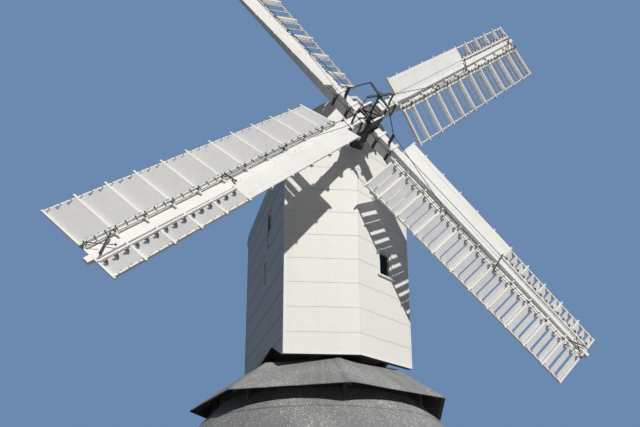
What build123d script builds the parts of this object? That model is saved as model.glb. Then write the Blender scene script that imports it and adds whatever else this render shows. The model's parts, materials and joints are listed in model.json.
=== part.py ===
from build123d import *
import os
from math import acos, atan2, cos, degrees, hypot, pi, radians, sin, sqrt, tan

os.makedirs("parts", exist_ok=True)

# A post mill: a boarded buck that turns on a trestle post, over a round brick base with a conical
# roof and an eight-sided hood. Z is up, the sails face -Y, the origin is the foot of the post axis
# at ground level. All sizes are millimetres.

# Fits
seat_gap = 0.3
turning_gap = 20.0
lap = 4.0

# Roundhouse walls
wall_radius = 4060.0
wall_thickness = 340.0
post_above_wall = 4190.0
wall_bays = 8
bay_joint = 0.6
floor_thickness = 120.0
door_width = 960.0
door_height = 2050.0
door_thickness = 60.0
window_width = 620.0
window_height = 820.0
window_sill = 1300.0
plate_setback = 60.0
frame_bar = 70.0
frame_depth = 90.0
glass_thickness = 12.0

# Roundhouse roof and wall plate
roof_pitch = radians(48.0)
roof_eave_radius = 4300.0
roof_eave_drop = 60.0
roof_ring_radius = 3000.0
roof_thickness = 70.0
roof_rafters = 48
floor_sides = 64

# Hood over the trestle head
hood_sides = 8
hood_turn = -101.25
hood_eave_radius = 3910.0
hood_lift = 875.0
hood_top_radius = 2580.0
hood_clearance = 60.0
hood_thickness = 45.0
hood_rafter_width = 90.0
hood_rafter_depth = 110.0
hood_rafter_overhang = 190.0
hood_rafter_setback = 20.0
hood_post_radius = 3200.0
hood_post_size = 130.0

# Trestle
pier_height = 1050.0
pier_length = 620.0
pier_width = 560.0
pier_radius = 3160.0
crosstree_size = 330.0
crosstree_half_length = 3440.0
quarter_bar_size = 270.0
quarter_bar_foot = 3060.0
quarter_bar_head_drop = 580.0
post_square = 740.0
post_square_drop = 280.0
post_chamfer = 80.0
post_radius = 310.0
post_height = 7370.0
post_cap_radius = 290.0
post_cap_height = 60.0

# Buck, as seen from above a box with a shallow prow to the front
buck_hang = 1950.0
buck_half_width = 1900.0
buck_front = 2200.0
buck_prow = 600.0
buck_back = 2300.0
buck_wall = 120.0
buck_eave_rise = 5600.0
roof_arc_growth = 210.0
roof_arc_offset = 250.0
buck_roof_thickness = 80.0
buck_verge = 60.0
buck_floor_rise = 660.0
bin_floor_rise = 5250.0
buck_floor_thickness = 80.0
upper_floor_thickness = 60.0
sheer_width = 240.0
sheer_depth = 260.0
sheer_half_length = 2060.0
crown_tree_half_width = 300.0
crown_tree_depth = 410.0
foot_peak_place = -1080.0
foot_peak_rise = 550.0
foot_back_rise = 120.0

# Buck windows, hatch and door: place along the wall, sill above the buck's bottom, size
breast_window_place = 1028.0
breast_window_sill = 2490.0
breast_window_width = 530.0
breast_window_height = 790.0
side_window_place = -200.0
side_window_sill = 2750.0
side_window_width = 300.0
side_window_height = 850.0
side_hatch_place = -605.0
side_hatch_sill = 3800.0
side_hatch_width = 370.0
side_hatch_height = 1300.0
tail_door_width = 820.0
tail_door_height = 1900.0

# Tail landing, ladder and tail pole
landing_length = 1500.0
landing_width = 1240.0
landing_thickness = 70.0
landing_joist = 160.0
ladder_width = 900.0
ladder_slope = radians(45.0)
ladder_foot_height = 250.0
stringer_depth = 210.0
stringer_width = 60.0
tread_rise = 225.0
tread_depth = 190.0
tread_thickness = 36.0
rail_height = 900.0
rail_size = 60.0
rail_posts = 7
tail_pole_size = 200.0
tail_pole_slope = radians(30.0)
tail_pole_rise = 300.0
tail_pole_end = 10100.0
tail_pole_gap = 20.0

# Windshaft
hub_front = 3645.0
hub_rise = 6456.0
shaft_tilt = radians(8.4)
shaft_radius = 210.0
neck_radius = 160.0
neck_start = 1590.0
neck_length = 440.0
tail_journal_radius = 80.0
tail_journal_start = 5520.0
tail_journal_length = 260.0
shaft_hole_gap = 25.0
bearing_base = 60.0
bearing_cheek = 80.0
bearing_length = 200.0
weather_beam_depth = 350.0
weather_beam_width = 340.0
tail_beam_depth = 230.0
tail_beam_width = 220.0
beam_post = 170.0

# Sails: distances along the whip from the windshaft axis, and across it from the whip's middle
sail_count = 4
sail_turn = radians(44.3)
rear_stock_setback = 237.0
stock_width = 300.0
stock_depth = 225.0
stock_tip_width = 190.0
stock_tip_depth = 140.0
stock_straight = 300.0
stock_reach = 5000.0
poll_half_width = 265.0
poll_front = 28.0
poll_back_wall = 70.0
whip_heel = 360.0
whip_tip = 8760.0
whip_width = 230.0
whip_tip_width = 112.0
whip_depth = 130.0
whip_tip_depth = 100.0
bar_rise = 12.0
heel_bar = 1300.0
bay_pitch = 684.0
heel_bay = 0.7
full_bays = 10
board_bays = 5
board_heel = 1275.0
board_thickness = 24.0
trailing_width = 1312.0
leading_width = 542.0
bar_nib = 45.0
bar_width = 38.0
bar_depth = 50.0
hemlath_width = 34.0
hemlath_depth = 60.0
inner_rail = 345.0
rail_width = 26.0
leading_rail = 215.0
rod_line = 235.0
leading_rod_line = 150.0
board_inner = 140.0
rod_width = 40.0
rod_depth = 30.0
rod_overhang = 120.0
heel_weather = radians(18.5)
tip_weather = radians(9.0)
leading_flatter = radians(2.5)
shutters_per_bay = 3
shutter_width = 212.0
shutter_thickness = 14.0
shutter_open = radians(32.0)
shutter_end_gap = 0.8

# Striking gear and clamps
clamp_places = (560.0, 1040.0)
clamp_band = 80.0
clamp_plate = 16.0
spider_forward = 520.0
spider_reach = 430.0
spider_turn = radians(-14.0)
spider_arm_width = 60.0
spider_arm_depth = 26.0
spider_boss_radius = 75.0
spider_boss_length = 90.0
striking_rod_radius = 24.0
crank_place = 860.0
crank_height = 250.0
crank_width = 80.0
crank_plate = 26.0
link_drop = 20.0
link_radius = 12.0


def save(piece, name):
    """Name a finished piece and write it to its own file."""
    piece.label = name
    export_step(piece, f"parts/{name}.step")


# Heights that follow from one another, from the post up and down

wall_height = post_height - post_above_wall
roof_eave_height = wall_height - roof_eave_drop
crown_bottom = post_height + post_cap_height + seat_gap
crown_top = crown_bottom + crown_tree_depth
stone_floor_top = crown_top + upper_floor_thickness
buck_bottom = crown_bottom - buck_hang
buck_eave = buck_bottom + buck_eave_rise
buck_floor_top = buck_bottom + buck_floor_rise
bin_floor_top = buck_bottom + bin_floor_rise
hub_height = buck_bottom + hub_rise
tail_pole_head = buck_bottom + tail_pole_rise
hood_top_height = buck_bottom - hood_clearance
post_square_top = buck_bottom - post_square_drop
quarter_bar_head_height = buck_bottom - quarter_bar_head_drop

# Shared lines of the roundhouse

wall_inner_radius = wall_radius - wall_thickness
wall_middle_radius = wall_radius - wall_thickness / 2
bay_angle = 360.0 / wall_bays
roof_drop = roof_thickness / cos(roof_pitch)
stand = (Align.CENTER, Align.CENTER, Align.MIN)
hang = (Align.CENTER, Align.CENTER, Align.MAX)


def roof_top_at(radius):
    """Height of the roundhouse roof's upper face at a distance from the axis."""
    return roof_eave_height + (roof_eave_radius - radius) * tan(roof_pitch)


flat_share = cos(pi / roof_rafters)
plate_top = roof_top_at(wall_radius - plate_setback) - roof_drop - seat_gap


def ring_bay(points):
    """Turn a closed outline of (radius, height) points through one bay, less a hairline joint."""
    joint = degrees(bay_joint / wall_radius)
    with BuildPart() as bay:
        with BuildSketch(Plane.XZ):
            with BuildLine():
                Polyline(*points, close=True)
            make_face()
        revolve(axis=Axis.Z, revolution_arc=bay_angle - joint)
    return bay.part.rotate(Axis.Z, (joint - bay_angle) / 2)


def wedge(reach, sweep, height):
    """A three-cornered wedge from the axis to well past a reach, centred on +X."""
    across = 2 * reach * cos(radians(sweep) / 2)
    aside = 2 * reach * sin(radians(sweep) / 2)
    with BuildPart() as solid:
        with BuildSketch():
            with BuildLine():
                Polyline((0, 0), (across, -aside), (across, aside), close=True)
            make_face()
        extrude(amount=height)
    return solid.part


# Brick wall in eight bays, with two doorways and four windows

wall_bay = ring_bay(
    [
        (wall_inner_radius, 0),
        (wall_radius, 0),
        (wall_radius, wall_height),
        (wall_inner_radius, wall_height),
    ]
)
with BuildPart() as roundhouse_wall:
    with PolarLocations(0, wall_bays):
        add(wall_bay)
    with PolarLocations(wall_middle_radius, 2):
        Box(2 * wall_thickness, door_width, door_height, align=stand, mode=Mode.SUBTRACT)
    with Locations((0, 0, window_sill)):
        with PolarLocations(wall_middle_radius, 4, start_angle=bay_angle):
            Box(2 * wall_thickness, window_width, window_height, align=stand, mode=Mode.SUBTRACT)
save(roundhouse_wall.part, "roundhouse_wall")

# Floor inside the wall, its underside level with the ground

with BuildPart() as roundhouse_floor:
    with BuildSketch():
        RegularPolygon(wall_inner_radius - seat_gap, floor_sides)
    extrude(amount=floor_thickness)
save(roundhouse_floor.part, "roundhouse_floor")

# Timber wall plate of straight lengths, under the roof's boards

plate_wedge = wedge(wall_radius, bay_angle - degrees(bay_joint / wall_radius), plate_top)
with BuildPart() as plate_bay:
    with BuildSketch(Plane.XY.offset(wall_height)):
        RegularPolygon(wall_radius - plate_setback, roof_rafters)
        RegularPolygon(wall_inner_radius / flat_share, roof_rafters, mode=Mode.SUBTRACT)
    extrude(amount=plate_top - wall_height)
    add(plate_wedge, mode=Mode.INTERSECT)
with BuildPart() as wall_plate:
    with PolarLocations(0, wall_bays):
        add(plate_bay.part)
save(wall_plate.part, "wall_plate")

# Plank doors in the two doorways

with BuildPart() as roundhouse_doors:
    with Locations((0, 0, seat_gap)):
        with PolarLocations(wall_middle_radius, 2):
            Box(door_thickness, door_width - 2 * seat_gap, door_height - 2 * seat_gap, align=stand)
save(roundhouse_doors.part, "roundhouse_doors")


def window_frame(width, height, panes_across):
    """A flat frame that stands upright, facing +X, with an equal number of panes across and up."""
    outer_width = width - 2 * seat_gap
    outer_height = height - 2 * seat_gap
    pane_width = (outer_width - frame_bar * (panes_across + 1)) / panes_across
    pane_height = (outer_height - frame_bar * (panes_across + 1)) / panes_across
    with BuildPart() as frame:
        with BuildSketch(Plane.YZ):
            Rectangle(outer_width, outer_height)
            with GridLocations(pane_width + frame_bar, pane_height + frame_bar, panes_across, panes_across):
                Rectangle(pane_width, pane_height, mode=Mode.SUBTRACT)
        extrude(amount=frame_depth / 2, both=True)
    return frame.part


round_window = window_frame(window_width, window_height, 2)
with BuildPart() as roundhouse_windows:
    with Locations((0, 0, window_sill + window_height / 2)):
        with PolarLocations(wall_middle_radius, 4, start_angle=bay_angle):
            add(round_window)
save(roundhouse_windows.part, "roundhouse_windows")

glass_radius = wall_middle_radius - frame_depth / 2 - seat_gap - glass_thickness / 2
with BuildPart() as roundhouse_glass:
    with Locations((0, 0, window_sill + window_height / 2)):
        with PolarLocations(glass_radius, 4, start_angle=bay_angle):
            Box(glass_thickness, window_width - 2 * seat_gap, window_height - 2 * seat_gap)
save(roundhouse_glass.part, "roundhouse_glass")



def sloping_bay(sides, panels, eave, top, drop):
    """Flat sloping panels side by side, centred on +X, between two (corner radius, height) levels."""
    step = 360.0 / sides
    flat = cos(pi / sides)
    run = (eave[0] - top[0]) * flat
    shift = drop * run / (top[1] - eave[1])
    panel_wedge = wedge(eave[0], step, top[1])
    bay_wedge = wedge(eave[0], step * panels - degrees(bay_joint / eave[0]), top[1])
    with BuildPart() as panel:
        with BuildSketch(Plane.XZ):
            with BuildLine():
                Polyline(
                    (eave[0] * flat, eave[1]),
                    (top[0] * flat, top[1]),
                    (top[0] * flat - shift, top[1]),
                    (eave[0] * flat - shift, eave[1]),
                    close=True,
                )
            make_face()
        extrude(amount=eave[0], both=True)
        add(panel_wedge, mode=Mode.INTERSECT)
    with BuildPart() as bay:
        first = step * (1 - panels) / 2
        with PolarLocations(0, panels, start_angle=first, angular_range=step * panels):
            add(panel.part)
        add(bay_wedge, mode=Mode.INTERSECT)
    return bay.part


# Boarded roof of straight boards from rafter to rafter, in eight bays

roof_bay = sloping_bay(
    roof_rafters,
    roof_rafters // wall_bays,
    (roof_eave_radius, roof_eave_height),
    (roof_ring_radius, roof_top_at(roof_ring_radius)),
    roof_drop,
)
with BuildPart() as roundhouse_roof:
    with PolarLocations(0, wall_bays):
        add(roof_bay)
save(roundhouse_roof.part, "roundhouse_roof")

# Eight-sided hood: sloping panels mitred at the hips, carried by hip rafters and short posts

hood_eave_height = roof_top_at(hood_eave_radius) + hood_lift
hood_run = hood_eave_radius - hood_top_radius
hood_rise = hood_top_height - hood_eave_height
half_side = pi / hood_sides
hood_slope = hood_rise / (hood_run * cos(half_side))
hip_slope = hood_rise / hood_run
hood_drop = hood_thickness * sqrt(1 + hood_slope**2)

hood_panel = sloping_bay(
    hood_sides,
    1,
    (hood_eave_radius, hood_eave_height),
    (hood_top_radius, hood_top_height),
    hood_drop,
)
with BuildPart() as hood_panels:
    with PolarLocations(0, hood_sides, start_angle=hood_turn + degrees(half_side)):
        add(hood_panel)
save(hood_panels.part, "hood_panels")

rafter_drop = hood_drop + hood_rafter_width / 2 * sin(half_side) * hood_slope + seat_gap


def rafter_top_at(radius):
    """Height of a hip rafter's top edge at a distance from the axis."""
    return hood_eave_height + (hood_eave_radius - radius) * hip_slope - rafter_drop


rafter_foot = hood_eave_radius - hood_rafter_overhang
rafter_head = hood_top_radius + hood_rafter_setback
post_outer = hood_post_radius + hood_post_size / 2
post_inner = hood_post_radius - hood_post_size / 2
post_feet = [roof_top_at(radius / flat_share) + seat_gap for radius in (post_inner, post_outer)]
with BuildPart() as hood_rafter:
    with BuildSketch(Plane.XZ):
        with BuildLine():
            Polyline(
                (rafter_foot, rafter_top_at(rafter_foot)),
                (rafter_head, rafter_top_at(rafter_head)),
                (rafter_head, rafter_top_at(rafter_head) - hood_rafter_depth),
                (post_inner, rafter_top_at(post_inner) - hood_rafter_depth),
                (post_inner, post_feet[0]),
                (post_outer, post_feet[1]),
                (post_outer, rafter_top_at(post_outer) - hood_rafter_depth),
                (rafter_foot, rafter_top_at(rafter_foot) - hood_rafter_depth),
                close=True,
            )
        make_face()
    extrude(amount=hood_rafter_width / 2, both=True)

with BuildPart() as hood_frame:
    with PolarLocations(0, hood_sides, start_angle=hood_turn):
        add(hood_rafter.part)
save(hood_frame.part, "hood_frame")

# Trestle: brick piers, two crossed beams, four quarter bars and the main post

lower_beam_top = pier_height + crosstree_size
upper_beam_bottom = lower_beam_top + seat_gap
upper_beam_top = upper_beam_bottom + crosstree_size
trestle_arms = (
    (45.0, pier_height, lower_beam_top),
    (135.0, upper_beam_bottom, upper_beam_top),
)

with BuildPart() as trestle_piers:
    for angle, beam_bottom, beam_top in trestle_arms:
        with Locations((0, 0, floor_thickness)):
            with PolarLocations(pier_radius, 2, start_angle=angle):
                Box(pier_length, pier_width, beam_bottom - floor_thickness, align=stand)
save(trestle_piers.part, "trestle_piers")

with BuildPart() as crosstrees:
    for angle, beam_bottom, beam_top in trestle_arms:
        with Locations(Location((0, 0, beam_bottom), (0, 0, angle))):
            Box(2 * crosstree_half_length, crosstree_size, crosstree_size, align=stand)
save(crosstrees.part, "crosstrees")

post_face = post_square / 2 + seat_gap
bar_pairs = []
for angle, beam_bottom, beam_top in trestle_arms:
    foot_height = beam_top + seat_gap
    slope = atan2(quarter_bar_head_height - foot_height, quarter_bar_foot - post_face)
    with BuildPart() as quarter_bar:
        with BuildSketch(Plane.XZ):
            with BuildLine():
                Polyline(
                    (quarter_bar_foot, foot_height),
                    (post_face, quarter_bar_head_height),
                    (post_face, quarter_bar_head_height - quarter_bar_size / cos(slope)),
                    (quarter_bar_foot - quarter_bar_size / sin(slope), foot_height),
                    close=True,
                )
            make_face()
        extrude(amount=quarter_bar_size / 2, both=True)
    bar_pairs.append((angle, quarter_bar.part))

with BuildPart() as quarter_bars:
    for angle, bar in bar_pairs:
        with PolarLocations(0, 2, start_angle=angle):
            add(bar)
save(quarter_bars.part, "quarter_bars")

with BuildPart() as main_post:
    with BuildSketch(Plane.XY.offset(upper_beam_top)):
        Rectangle(post_square, post_square, rotation=45)
    extrude(amount=post_square_top - upper_beam_top)
    chamfer(main_post.edges().filter_by(Axis.Z), length=post_chamfer)
    with BuildSketch(Plane.XY.offset(post_square_top)):
        Circle(post_radius)
    extrude(amount=post_height - post_square_top)
    with BuildSketch(Plane.XY.offset(post_height)):
        Circle(post_cap_radius)
    extrude(amount=post_cap_height)
save(main_post.part, "main_post")

# Shared lines of the buck

prow_slope = buck_prow / buck_half_width
prow_angle = atan2(buck_prow, buck_half_width)
prow_front = -buck_front - buck_prow
prow_thickness = buck_wall / cos(prow_angle)
inner_half_width = buck_half_width - buck_wall
side_front = -buck_front + prow_thickness - prow_slope * buck_wall
side_back = buck_back - buck_wall
roof_arc_radius = buck_half_width + roof_arc_growth
roof_outer_radius = roof_arc_radius + buck_roof_thickness
roof_height = sqrt(roof_outer_radius**2 - roof_arc_offset**2)
hub = Vector(0, -hub_front, hub_height)
shaft_forward = Vector(0, -cos(shaft_tilt), sin(shaft_tilt))
shaft_plane = Plane(origin=hub, x_dir=(1, 0, 0), z_dir=-shaft_forward)


def shaft_round(radius, start, length):
    """A round length on the windshaft's axis, counted back from the hub."""
    with BuildPart(shaft_plane.offset(start)) as round_length:
        Cylinder(radius, length, align=stand)
    return round_length.part


# Space under the roof's curve, which trims the tops of the end walls

gable_radius = roof_arc_radius - seat_gap
gable_spring = gable_radius - roof_arc_offset
gable_peak = sqrt(gable_radius**2 - roof_arc_offset**2)
gable_angle = acos(roof_arc_offset / gable_radius) / 2
gable_across = gable_radius * cos(gable_angle) - roof_arc_offset
gable_up = gable_radius * sin(gable_angle)
with BuildPart() as gable_room:
    with BuildSketch(Plane.XZ.offset(-2 * buck_back)):
        with BuildLine():
            Polyline(
                (-gable_spring, buck_eave),
                (-buck_half_width, buck_eave),
                (-buck_half_width, buck_bottom),
                (buck_half_width, buck_bottom),
                (buck_half_width, buck_eave),
                (gable_spring, buck_eave),
            )
            ThreePointArc(
                (gable_spring, buck_eave),
                (gable_across, buck_eave + gable_up),
                (0, buck_eave + gable_peak),
            )
            ThreePointArc(
                (0, buck_eave + gable_peak),
                (-gable_across, buck_eave + gable_up),
                (-gable_spring, buck_eave),
            )
        make_face()
    extrude(amount=5 * buck_back)

# Breast: two faces that meet in a shallow prow, with the windshaft's hole at the top

shaft_hole = shaft_round(shaft_radius + shaft_hole_gap, 0, neck_start + neck_length)
breast_face = Plane(
    origin=(0, prow_front, buck_bottom),
    x_dir=(buck_half_width, buck_prow, 0),
    z_dir=(buck_prow, -buck_half_width, 0),
)
breast_window_middle = (breast_window_place, breast_window_sill + breast_window_height / 2, -buck_wall / 2)
for name, side in (("breast_left", -1), ("breast_right", 1)):
    with BuildPart() as breast:
        with BuildSketch(Plane.XY.offset(buck_bottom)):
            with BuildLine():
                Polyline(
                    (0, prow_front),
                    (side * buck_half_width, -buck_front),
                    (side * buck_half_width, side_front),
                    (side * inner_half_width, side_front),
                    (0, prow_front + prow_thickness),
                    close=True,
                )
            make_face()
        extrude(amount=buck_eave_rise + roof_height)
        add(gable_room.part, mode=Mode.INTERSECT)
        add(shaft_hole, mode=Mode.SUBTRACT)
        if side > 0:
            with Locations(breast_face.location * Pos(*breast_window_middle)):
                Box(breast_window_width, breast_window_height, 4 * buck_wall, mode=Mode.SUBTRACT)
    save(breast.part, name)

# Side walls, their feet cut up towards the middle; the left one has a window and a hatch

for name, side in (("side_wall_left", -1), ("side_wall_right", 1)):
    with BuildPart() as side_wall:
        with BuildSketch(Plane.YZ.offset(side * (buck_half_width - buck_wall / 2))):
            with BuildLine():
                Polyline(
                    (side_front, buck_bottom),
                    (foot_peak_place, buck_bottom + foot_peak_rise),
                    (side_back, buck_bottom + foot_back_rise),
                    (side_back, buck_eave),
                    (side_front, buck_eave),
                    close=True,
                )
            make_face()
            if side < 0:
                window_height_middle = buck_bottom + side_window_sill + side_window_height / 2
                with Locations((side_window_place, window_height_middle)):
                    Rectangle(side_window_width, side_window_height, mode=Mode.SUBTRACT)
                hatch_height_middle = buck_bottom + side_hatch_sill + side_hatch_height / 2
                with Locations((side_hatch_place, hatch_height_middle)):
                    Rectangle(side_hatch_width, side_hatch_height, mode=Mode.SUBTRACT)
        extrude(amount=buck_wall / 2, both=True)
    save(side_wall.part, name)

# Tail wall with its doorway

tail_middle = buck_back - buck_wall / 2
with BuildPart() as tail_wall:
    with Locations((0, tail_middle, buck_bottom)):
        Box(2 * buck_half_width, buck_wall, buck_eave_rise + roof_height, align=stand)
    add(gable_room.part, mode=Mode.INTERSECT)
    with Locations((0, tail_middle, buck_floor_top)):
        Box(tail_door_width, 3 * buck_wall, tail_door_height, align=stand, mode=Mode.SUBTRACT)
save(tail_wall.part, "tail_wall")

# Arched roof in two halves that meet at a faint ridge, cut at the front to the prow

verge_side = buck_half_width + buck_verge
verge_corner = -buck_front - buck_verge / cos(prow_angle) + prow_slope * buck_verge
with BuildPart() as roof_plan:
    with BuildSketch(Plane.XY.offset(buck_eave)):
        with BuildLine():
            Polyline(
                (verge_side, buck_back + buck_verge),
                (verge_side, verge_corner),
                (0, prow_front - buck_verge / cos(prow_angle)),
                (-verge_side, verge_corner),
                (-verge_side, buck_back + buck_verge),
                close=True,
            )
        make_face()
    extrude(amount=2 * roof_height)

for name, side in (("buck_roof_left", -1), ("buck_roof_right", 1)):
    with BuildPart() as buck_roof:
        with BuildSketch(Plane.XZ.offset(-2 * buck_back)):
            with Locations((-side * roof_arc_offset, buck_eave)):
                Circle(roof_outer_radius)
                Circle(roof_arc_radius, mode=Mode.SUBTRACT)
            with Locations((side * roof_outer_radius, buck_eave + roof_outer_radius)):
                Rectangle(2 * roof_outer_radius, 2 * roof_outer_radius, mode=Mode.INTERSECT)
        extrude(amount=5 * buck_back)
        add(roof_plan.part, mode=Mode.INTERSECT)
    save(buck_roof.part, name)

# Floors of the buck; the lowest is laid in four parts round the post, and two sheers carry it

post_hole = 2 * (post_radius + turning_gap)

for name, level, thickness in (
    ("buck_floor", buck_floor_top, buck_floor_thickness),
    ("stone_floor", stone_floor_top, upper_floor_thickness),
    ("bin_floor", bin_floor_top, upper_floor_thickness),
):
    with BuildPart() as buck_level:
        with BuildSketch(Plane.XY.offset(level)):
            with BuildLine():
                Polyline(
                    (inner_half_width, side_back),
                    (inner_half_width, side_front),
                    (0, prow_front + prow_thickness),
                    (-inner_half_width, side_front),
                    (-inner_half_width, side_back),
                    close=True,
                )
            make_face()
            if level == buck_floor_top:
                Rectangle(post_hole, post_hole, mode=Mode.SUBTRACT)
                with GridLocations(0, post_hole, 1, 2):
                    Rectangle(2 * buck_half_width, bay_joint, mode=Mode.SUBTRACT)
        extrude(amount=-thickness)
    save(buck_level.part, name)

sheer_middle = post_radius + turning_gap + sheer_width / 2
with BuildPart() as sheers:
    with Locations((0, 0, buck_floor_top - buck_floor_thickness)):
        with GridLocations(2 * sheer_middle, 0, 2, 1):
            Box(sheer_width, 2 * sheer_half_length, sheer_depth, align=hang)
save(sheers.part, "sheers")

# Crown tree, the great cross beam that hangs the buck on the post

with BuildPart() as crown_tree:
    with Locations((0, 0, crown_bottom)):
        Box(2 * inner_half_width, 2 * crown_tree_half_width, crown_tree_depth, align=stand)
save(crown_tree.part, "crown_tree")

# Weather beam on two posts, and the tail beam, with the windshaft's two bearings on them

neck_middle = hub - shaft_forward * (neck_start + neck_length / 2)
tail_journal_middle = hub - shaft_forward * (tail_journal_start + tail_journal_length / 2)
weather_beam_top = neck_middle.Z - neck_radius - bearing_base
tail_beam_top = tail_journal_middle.Z - tail_journal_radius - bearing_base
beam_post_middle = inner_half_width - beam_post / 2
with BuildPart() as shaft_beams:
    with Locations((0, neck_middle.Y, weather_beam_top)):
        Box(2 * inner_half_width, weather_beam_width, weather_beam_depth, align=hang)
    with Locations((0, neck_middle.Y, bin_floor_top)):
        with GridLocations(2 * beam_post_middle, 0, 2, 1):
            Box(beam_post, weather_beam_width, weather_beam_top - bin_floor_top, align=stand)
    with Locations((0, tail_journal_middle.Y, tail_beam_top)):
        Box(2 * inner_half_width, tail_beam_width, tail_beam_depth, align=hang)
    add(gable_room.part, mode=Mode.INTERSECT)
save(shaft_beams.part, "shaft_beams")

neck_bore = shaft_round(neck_radius + seat_gap, neck_start, neck_length)
tail_bore = shaft_round(tail_journal_radius + seat_gap, tail_journal_start, tail_journal_length)
with BuildPart() as shaft_bearings:
    for middle, beam_top, radius in (
        (neck_middle, weather_beam_top, neck_radius),
        (tail_journal_middle, tail_beam_top, tail_journal_radius),
    ):
        with Locations((0, middle.Y, beam_top)):
            Box(2 * (radius + bearing_cheek), bearing_length, middle.Z - beam_top, align=stand)
    add(neck_bore, mode=Mode.SUBTRACT)
    add(tail_bore, mode=Mode.SUBTRACT)
save(shaft_bearings.part, "shaft_bearings")

# Windows of the buck, with their glass, and the boarded hatch in the left side

breast_frame = window_frame(breast_window_width, breast_window_height, 1)
side_frame = window_frame(side_window_width, side_window_height, 1)
breast_window_spot = breast_face.location * Pos(*breast_window_middle) * Rot(90, 0, 90)
side_window_spot = Pos(
    -buck_half_width + buck_wall / 2,
    side_window_place,
    buck_bottom + side_window_sill + side_window_height / 2,
)
side_hatch_spot = Pos(
    -buck_half_width + buck_wall / 2,
    side_hatch_place,
    buck_bottom + side_hatch_sill + side_hatch_height / 2,
)
with BuildPart() as buck_windows:
    with Locations(breast_window_spot):
        add(breast_frame)
    with Locations(side_window_spot):
        add(side_frame)
save(buck_windows.part, "buck_windows")

with BuildPart() as buck_glass:
    for spot, width, height in (
        (breast_window_spot, breast_window_width, breast_window_height),
        (side_window_spot, side_window_width, side_window_height),
    ):
        pane_trim = 2 * (frame_bar + 2 * seat_gap)
        with Locations(spot):
            Box(glass_thickness, width - pane_trim, height - pane_trim)
save(buck_glass.part, "buck_glass")

with BuildPart() as side_hatch:
    with Locations(side_hatch_spot):
        Box(door_thickness, side_hatch_width - 2 * seat_gap, side_hatch_height - 2 * seat_gap)
save(side_hatch.part, "side_hatch")

with BuildPart() as tail_door:
    with Locations((0, tail_middle, buck_floor_top + seat_gap)):
        Box(tail_door_width - 2 * seat_gap, door_thickness, tail_door_height - 2 * seat_gap, align=stand)
save(tail_door.part, "tail_door")

# Tail landing on joists, with its rails, and the long ladder down towards the ground

landing_top = buck_floor_top
landing_back = buck_back + landing_length
landing_middle = buck_back + landing_length / 2
landing_edge = (landing_width - rail_size) / 2
with BuildPart() as tail_landing:
    with Locations((0, landing_middle, landing_top)):
        Box(landing_width, landing_length, landing_thickness, align=hang)
        with GridLocations(landing_width - landing_joist, 0, 2, 1):
            Box(landing_joist, landing_length, landing_thickness + landing_joist, align=hang)
    with Locations((0, landing_middle, landing_top)):
        with GridLocations(2 * landing_edge, landing_length - rail_size, 2, 2):
            Box(rail_size, rail_size, rail_height, align=stand)
        with GridLocations(2 * landing_edge, 0, 2, 1):
            with Locations((0, 0, rail_height)):
                Box(rail_size, landing_length, rail_size, align=hang)
            with Locations((0, 0, rail_height / 2)):
                Box(rail_size, landing_length, rail_size, align=hang)
save(tail_landing.part, "tail_landing")

ladder_drop = landing_top - ladder_foot_height
ladder_run = ladder_drop / tan(ladder_slope)
stringer_rise = stringer_depth / cos(ladder_slope)
rail_face = rail_size / cos(ladder_slope)
stringer_middle = (ladder_width + stringer_width) / 2


def down_ladder(distance, lift):
    """Side view point of the ladder: distance behind the landing, lift above the stringer's top."""
    return landing_back + distance, landing_top - distance * tan(ladder_slope) + lift


with BuildPart() as ladder_side:
    with BuildSketch(Plane.YZ):
        with BuildLine():
            Polyline(
                down_ladder(0, 0),
                down_ladder(ladder_run, 0),
                down_ladder(ladder_run - stringer_rise / tan(ladder_slope), -stringer_rise),
                down_ladder(0, -stringer_rise),
                close=True,
            )
        make_face()
        with BuildLine():
            Polyline(
                down_ladder(0, rail_height),
                down_ladder(ladder_run, rail_height),
                down_ladder(ladder_run, rail_height - rail_face),
                down_ladder(0, rail_height - rail_face),
                close=True,
            )
        make_face()
        for post in range(rail_posts):
            start = post * (ladder_run - rail_size) / (rail_posts - 1)
            with BuildLine():
                Polyline(
                    down_ladder(start, rail_height - rail_face / 2),
                    down_ladder(start + rail_size, rail_height - rail_face / 2),
                    down_ladder(start + rail_size, -rail_face / 2),
                    down_ladder(start, -rail_face / 2),
                    close=True,
                )
            make_face()
    extrude(amount=stringer_width / 2, both=True)

with BuildPart() as ladder_sides:
    with GridLocations(2 * stringer_middle, 0, 2, 1):
        add(ladder_side.part)
save(ladder_sides.part, "ladder_sides")


def pole_beam(size, back):
    """A square beam down the tail pole's line, from the tail wall to a distance behind the axis."""
    face = size / cos(tail_pole_slope)
    pole_start = buck_back + seat_gap
    drop = (back - pole_start) * tan(tail_pole_slope)
    with BuildPart() as beam:
        with BuildSketch(Plane.YZ):
            with BuildLine():
                Polyline(
                    (pole_start, tail_pole_head + face / 2),
                    (back, tail_pole_head + face / 2 - drop),
                    (back, tail_pole_head - face / 2 - drop),
                    (pole_start, tail_pole_head - face / 2),
                    close=True,
                )
            make_face()
        extrude(amount=size / 2, both=True)
    return beam.part


pole_room = pole_beam(tail_pole_size + 2 * tail_pole_gap, tail_pole_end)
tread_count = int(ladder_drop / tread_rise)
with BuildPart() as ladder_treads:
    for step in range(1, tread_count + 1):
        back, height = down_ladder(step * tread_rise / tan(ladder_slope), -tread_thickness / 2)
        with Locations((0, back - tread_depth / 2 - tread_thickness, height)):
            Box(ladder_width - 2 * seat_gap, tread_depth, tread_thickness)
    add(pole_room, mode=Mode.SUBTRACT)
save(ladder_treads.part, "ladder_treads")

tail_pole_timber = pole_beam(tail_pole_size, tail_pole_end)
with BuildPart() as tail_pole:
    add(tail_pole_timber)
save(tail_pole.part, "tail_pole")

# Windshaft with its neck and tail journals

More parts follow.
